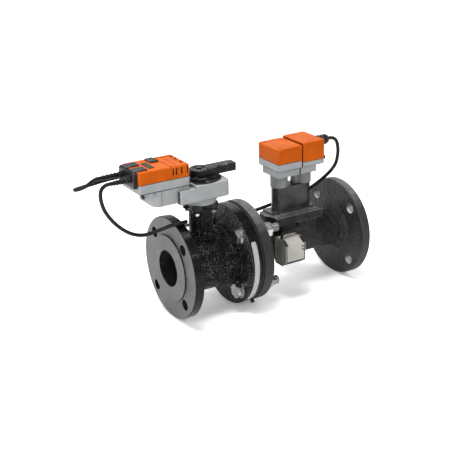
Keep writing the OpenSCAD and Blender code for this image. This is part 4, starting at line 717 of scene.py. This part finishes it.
# Shut lines and moulded marks, drawn as dark hairlines where two mouldings meet; the line
# along the top of the housing band, just under the orange cover, is painted shadow
seamsAndShadowLines = {  # the axis along which each line is measured, and where it starts and ends
    "housing_tray": [("Z", 0.1563, 0.1571), ("X", -0.0225, -0.0219)],
    # The band's upper line is painted shadow under the orange cover.
    "housing_band": [("Z", 0.1569, 0.1577), ("Z", 0.1724, 0.1731)],
    "gear_case": [("X", 0.0079, 0.0086), ("Z", 0.1273, 0.1279)],
    "sensor_case_left": [("Z", 0.1418, 0.1426), ("Z", 0.1438, 0.1446),
                         ("Z", 0.1568, 0.1576), ("X", 0.2622, 0.2632)],
    "sensor_case_right": [("Z", 0.1418, 0.1426), ("Z", 0.1438, 0.1446),
                          ("Z", 0.1528, 0.1536), ("X", 0.2638, 0.2646)],
    "sensor_cap_left": [("Z", 0.1574, 0.1580)],
    "sensor_cap_right": [("X", 0.2639, 0.2648)],
    "motor_cover": [("Z", 0.1729, 0.1735)],
}
seamedAndShaded = {  # the tint of the lines, its share, and the pieces that have them
    "orangePlastic": dict(tint=(0.16, 0.022, 0.002), share=0.7, pieces=(
        "motor_cover", "sensor_cap_left", "sensor_cap_right")),
    "greyPlastic": dict(tint=(0.035, 0.038, 0.042), share=0.92, pieces=(
        "housing_tray", "housing_band", "gear_case", "sensor_case_left",
        "sensor_case_right")),
}
hairlineBlend = 0.0002


def addSeamsAndShadowLines(finish, node, c):
    # Each line is the zone between two values of one coordinate, mixed towards a tint.
    mat, tree, where, shader = restyle(finish, "." + node)
    for axis, low, high in seamsAndShadowLines[node]:
        zone = zoneMask(tree, where, axis, low, high, hairlineBlend)
        over(tree, shader, "Base Color", times(tree, zone, c["share"]), rgb(c["tint"]))
    return mat


# Black trim and drilled spots of the transducer covers, which are alike after half a turn
podTrim = {
    "aside": 0.0305,    # X of each cover's middle, from the middle of the pair
    "ends": (0.0155, 0.0159), "bevels": (0.25, 0.35),
    "coverBottom": -0.0142, "plateBottom": -0.0222, "bottomBlend": 0.0004,
    "holes": ((0.0153, 0.00425, 0.0019), (0.0153, 0.0102, 0.0019)),  # X, Z, radius
    "holeBlend": 0.0003, "black": (0.006, 0.006, 0.006),
}


def addPodTrim(finish, suffix, bottom, holes, c):
    # Black along the bottom, and short black lines where the bevels meet the end plates:
    # the distance from the nearer cover's middle, folded twice, passes the cover's half.
    mat, tree, where, shader = restyle(finish, suffix)
    place, facing = axes(tree, where), facingAxes(tree)
    out = maths(tree, "SUBTRACT", place[0], podMiddle)
    aside = maths(tree, "ABSOLUTE", maths(
        tree, "SUBTRACT", maths(tree, "ABSOLUTE", out), c["aside"]))
    sloped = (spread(tree, maths(tree, "ABSOLUTE", facing[k]), *c["bevels"]) for k in (1, 2))
    ends = times(tree, spread(tree, aside, *c["ends"]), *sloped)
    low = spread(tree, place[2], bottom, bottom - c["bottomBlend"])
    black = maths(tree, "MAXIMUM", low, ends)
    turned = times(tree, maths(tree, "SIGN", place[1]), out)
    for x, z, r in holes:
        dx = maths(tree, "SUBTRACT", turned, c["aside"] - x)
        dz = maths(tree, "SUBTRACT", place[2], z)
        spot = spread(tree, distance(tree, dx, dz), r, r - c["holeBlend"])
        black = maths(tree, "MAXIMUM", black, spot)
    over(tree, shader, "Base Color", black, rgb(c["black"]))
    return mat


# Threads of the flange bolts, past the nuts
threads = {
    "from": 0.1785, "blend": 0.0003,    # X
    "pitch": 0.002, "depth": 0.0004, "valley": (0.12, 0.12, 0.12),
}


def addThreads(finish, suffix, c):
    # A sine of the distance along the bolt, dark where it is low
    mat, tree, where, shader = restyle(finish, suffix)
    along = axes(tree, where)[0]
    turns = wave(tree, along, c["pitch"])
    beyond = spread(tree, along, c["from"], c["from"] + c["blend"])
    over(tree, shader, "Normal", beyond, ridges(tree, turns, c["depth"]))
    over(tree, shader, "Base Color", times(tree, beyond, spread(tree, turns, 0, -1)),
         rgb(c["valley"]))
    return mat


# Nodes whose finish isn't just that of their slot
special = {node: addCastingZones(body, casting) for node, body in castings.items()}
addPaintedBackSheen(special["body_end"], paintedBackSheen)
addStreaksAndTopSheen(special["sensor_body"], streaksAndTopSheen)
for finish, c in seamedAndShaded.items():
    for node in c["pieces"]:
        special[node] = addSeamsAndShadowLines(finish, node, c)
special.update({
    "pillar_sleeves": made["sleevePlastic"],
    "pod_covers": addPodTrim("creamPlastic", "Cover", podTrim["coverBottom"],
                             podTrim["holes"], podTrim),
    "pod_end_plates": addPodTrim("olivePaint", "Plate", podTrim["plateBottom"], (), podTrim),
    "flange_bolts": addThreads("zincSteel", "Bolt", threads),
    "lever_screw": made["blackSteel"],
    "cover_screws": made["blackSteel"],
    "sensor_screws": made["blackSteel"],
})
print("special finishes made:", len(special))

finishOfSlot = {
    "body_iron": "paintedIron", "seat_plastic": "sealPlastic", "stainless": "stainless",
    "gasket_sheet": "gasketSheet", "zinc_steel": "zincSteel", "black_metal": "blackSteel",
    "grey_plastic": "greyPlastic", "gear_plastic": "gearPlastic",
    "motor_steel": "motorSteel", "board_green": "boardGreen",
    "orange_plastic": "orangePlastic", "black_plastic": "blackPlastic",
    "window_plastic": "windowPlastic", "sensor_iron": "mattIron",
    "cream_plastic": "creamPlastic", "seal_rubber": "blackRubber",
    "plate_paint": "olivePaint", "pillar_paint": "satinBlack",
    "cable_sheath": "blackRubber", "tie_plastic": "tiePlastic", "wire_plastic": "blackPlastic",
}


def dress(piece, mat):
    # Gives the piece this finish and no other
    piece.data.materials.clear()
    piece.data.materials.append(mat)


for entry in frame["record"]["subparts"]:
    name = entry["node"]
    dress(nodes[name], special.get(name) or made[finishOfSlot[entry["material_slot"]]])
for piece in cables:
    dress(piece, made["blackRubber"])
dress(label, made["labelPaper"])
for piece in trims:
    dress(piece, made["blackPlastic"])
undressed = [n for n, o in nodes.items() if not o.data.materials
             or "look" not in o.data.materials[0]]
print("dressed; left over:", undressed)


# Floor and light
studio = {
    "floorZ": -0.0926, "floorSize": 12, "floorSteps": 24, "floorColour": (0.96, 0.96, 0.96),
    "floorTone": 1.02, "floorPatch": 2.0, "floorPatches": (0.3, 0.7), "floorRough": 0.7,
    "floorGlow": 0.25,
    "sky": 0.46, "gamma": 0.87,
    "lamps": [  # name, place, aim, width and height of the soft box, watts
        ("overhead", (-0.2, -0.1, 1.9), (0.12, 0, 0.02), (0.8, 0.6), 31),
        ("left", (-1.7, -0.5, 0.9), (0.12, 0, 0.02), (0.25, 1.5), 15),
        ("right", (1.6, -1.3, 0.9), (0.12, 0, 0.02), (0.3, 1.5), 5),
        ("front", (-0.2, -2.0, 1.5), (0.12, 0, 0.02), (0.25, 0.25), 5),
        ("rear", (-0.7, 1.5, 1.6), (0.12, 0, 0.02), (1.2, 0.6), 10),
        ("farFloor", (2.6, 4.4, 3.2), (2.6, 4.4, 0), (4.5, 4.5), 170)],
}


def makeFloor(c):
    # A flat square grid with a soft noise of two near whites
    s = np.linspace(-0.5, 0.5, c["floorSteps"] + 1) * c["floorSize"]
    x, y = np.meshgrid(s, s, indexing="ij")
    grid = np.stack([x, y, np.full_like(x, c["floorZ"])], axis=-1)
    at = np.arange(x.size).reshape(x.shape)
    quads = np.stack([at[:-1, :-1], at[1:, :-1], at[1:, 1:], at[:-1, 1:]],
                     axis=-1).reshape(-1, 4)
    mesh = bpy.data.meshes.new("floor")
    mesh.from_pydata(grid.reshape(-1, 3).tolist(), [], quads.tolist())
    floor = bpy.data.objects.new("floor", mesh)
    bpy.context.scene.collection.objects.link(floor)
    mat, tree, where, shader = startFinish("paleFloor")
    patches = spread(tree, noise(tree, where, c["floorPatch"]), *c["floorPatches"])
    tone = [v * c["floorTone"] for v in c["floorColour"]]
    tree.links.new(blendColour(tree, patches, rgb(c["floorColour"]), rgb(tone)),
                   shader.inputs["Base Color"])
    shader.inputs["Roughness"].default_value = c["floorRough"]
    shader.inputs["Emission Color"].default_value = (1, 1, 1, 1)
    shader.inputs["Emission Strength"].default_value = c["floorGlow"]
    floor.data.materials.append(mat)


def makeLamp(name, place, at, size, watts):
    # A soft box that faces the point at which it is aimed
    lamp = bpy.data.lights.new(name, "AREA")
    lamp.shape = "RECTANGLE"
    lamp.size, lamp.size_y = size
    lamp.energy = watts
    holder = bpy.data.objects.new(name, lamp)
    bpy.context.scene.collection.objects.link(holder)
    holder.location = place
    aim = Vector(at) - Vector(place)
    holder.rotation_euler = aim.to_track_quat("-Z", "Y").to_euler()


def makeStudio(c):
    # Floor, an even white sky, the lamps, and a view whose brightness is raised to one over
    # the gamma
    makeFloor(c)
    world = bpy.data.worlds.new("studio")
    world.use_nodes = True
    sky = world.node_tree.nodes["Background"].inputs
    sky["Color"].default_value = (1, 1, 1, 1)
    sky["Strength"].default_value = c["sky"]
    bpy.context.scene.world = world
    for lamp in c["lamps"]:
        makeLamp(*lamp)
    view = bpy.context.scene.view_settings
    view.view_transform = "Standard"
    view.exposure = 0.0
    view.gamma = c["gamma"]


makeStudio(studio)
print("studio made")
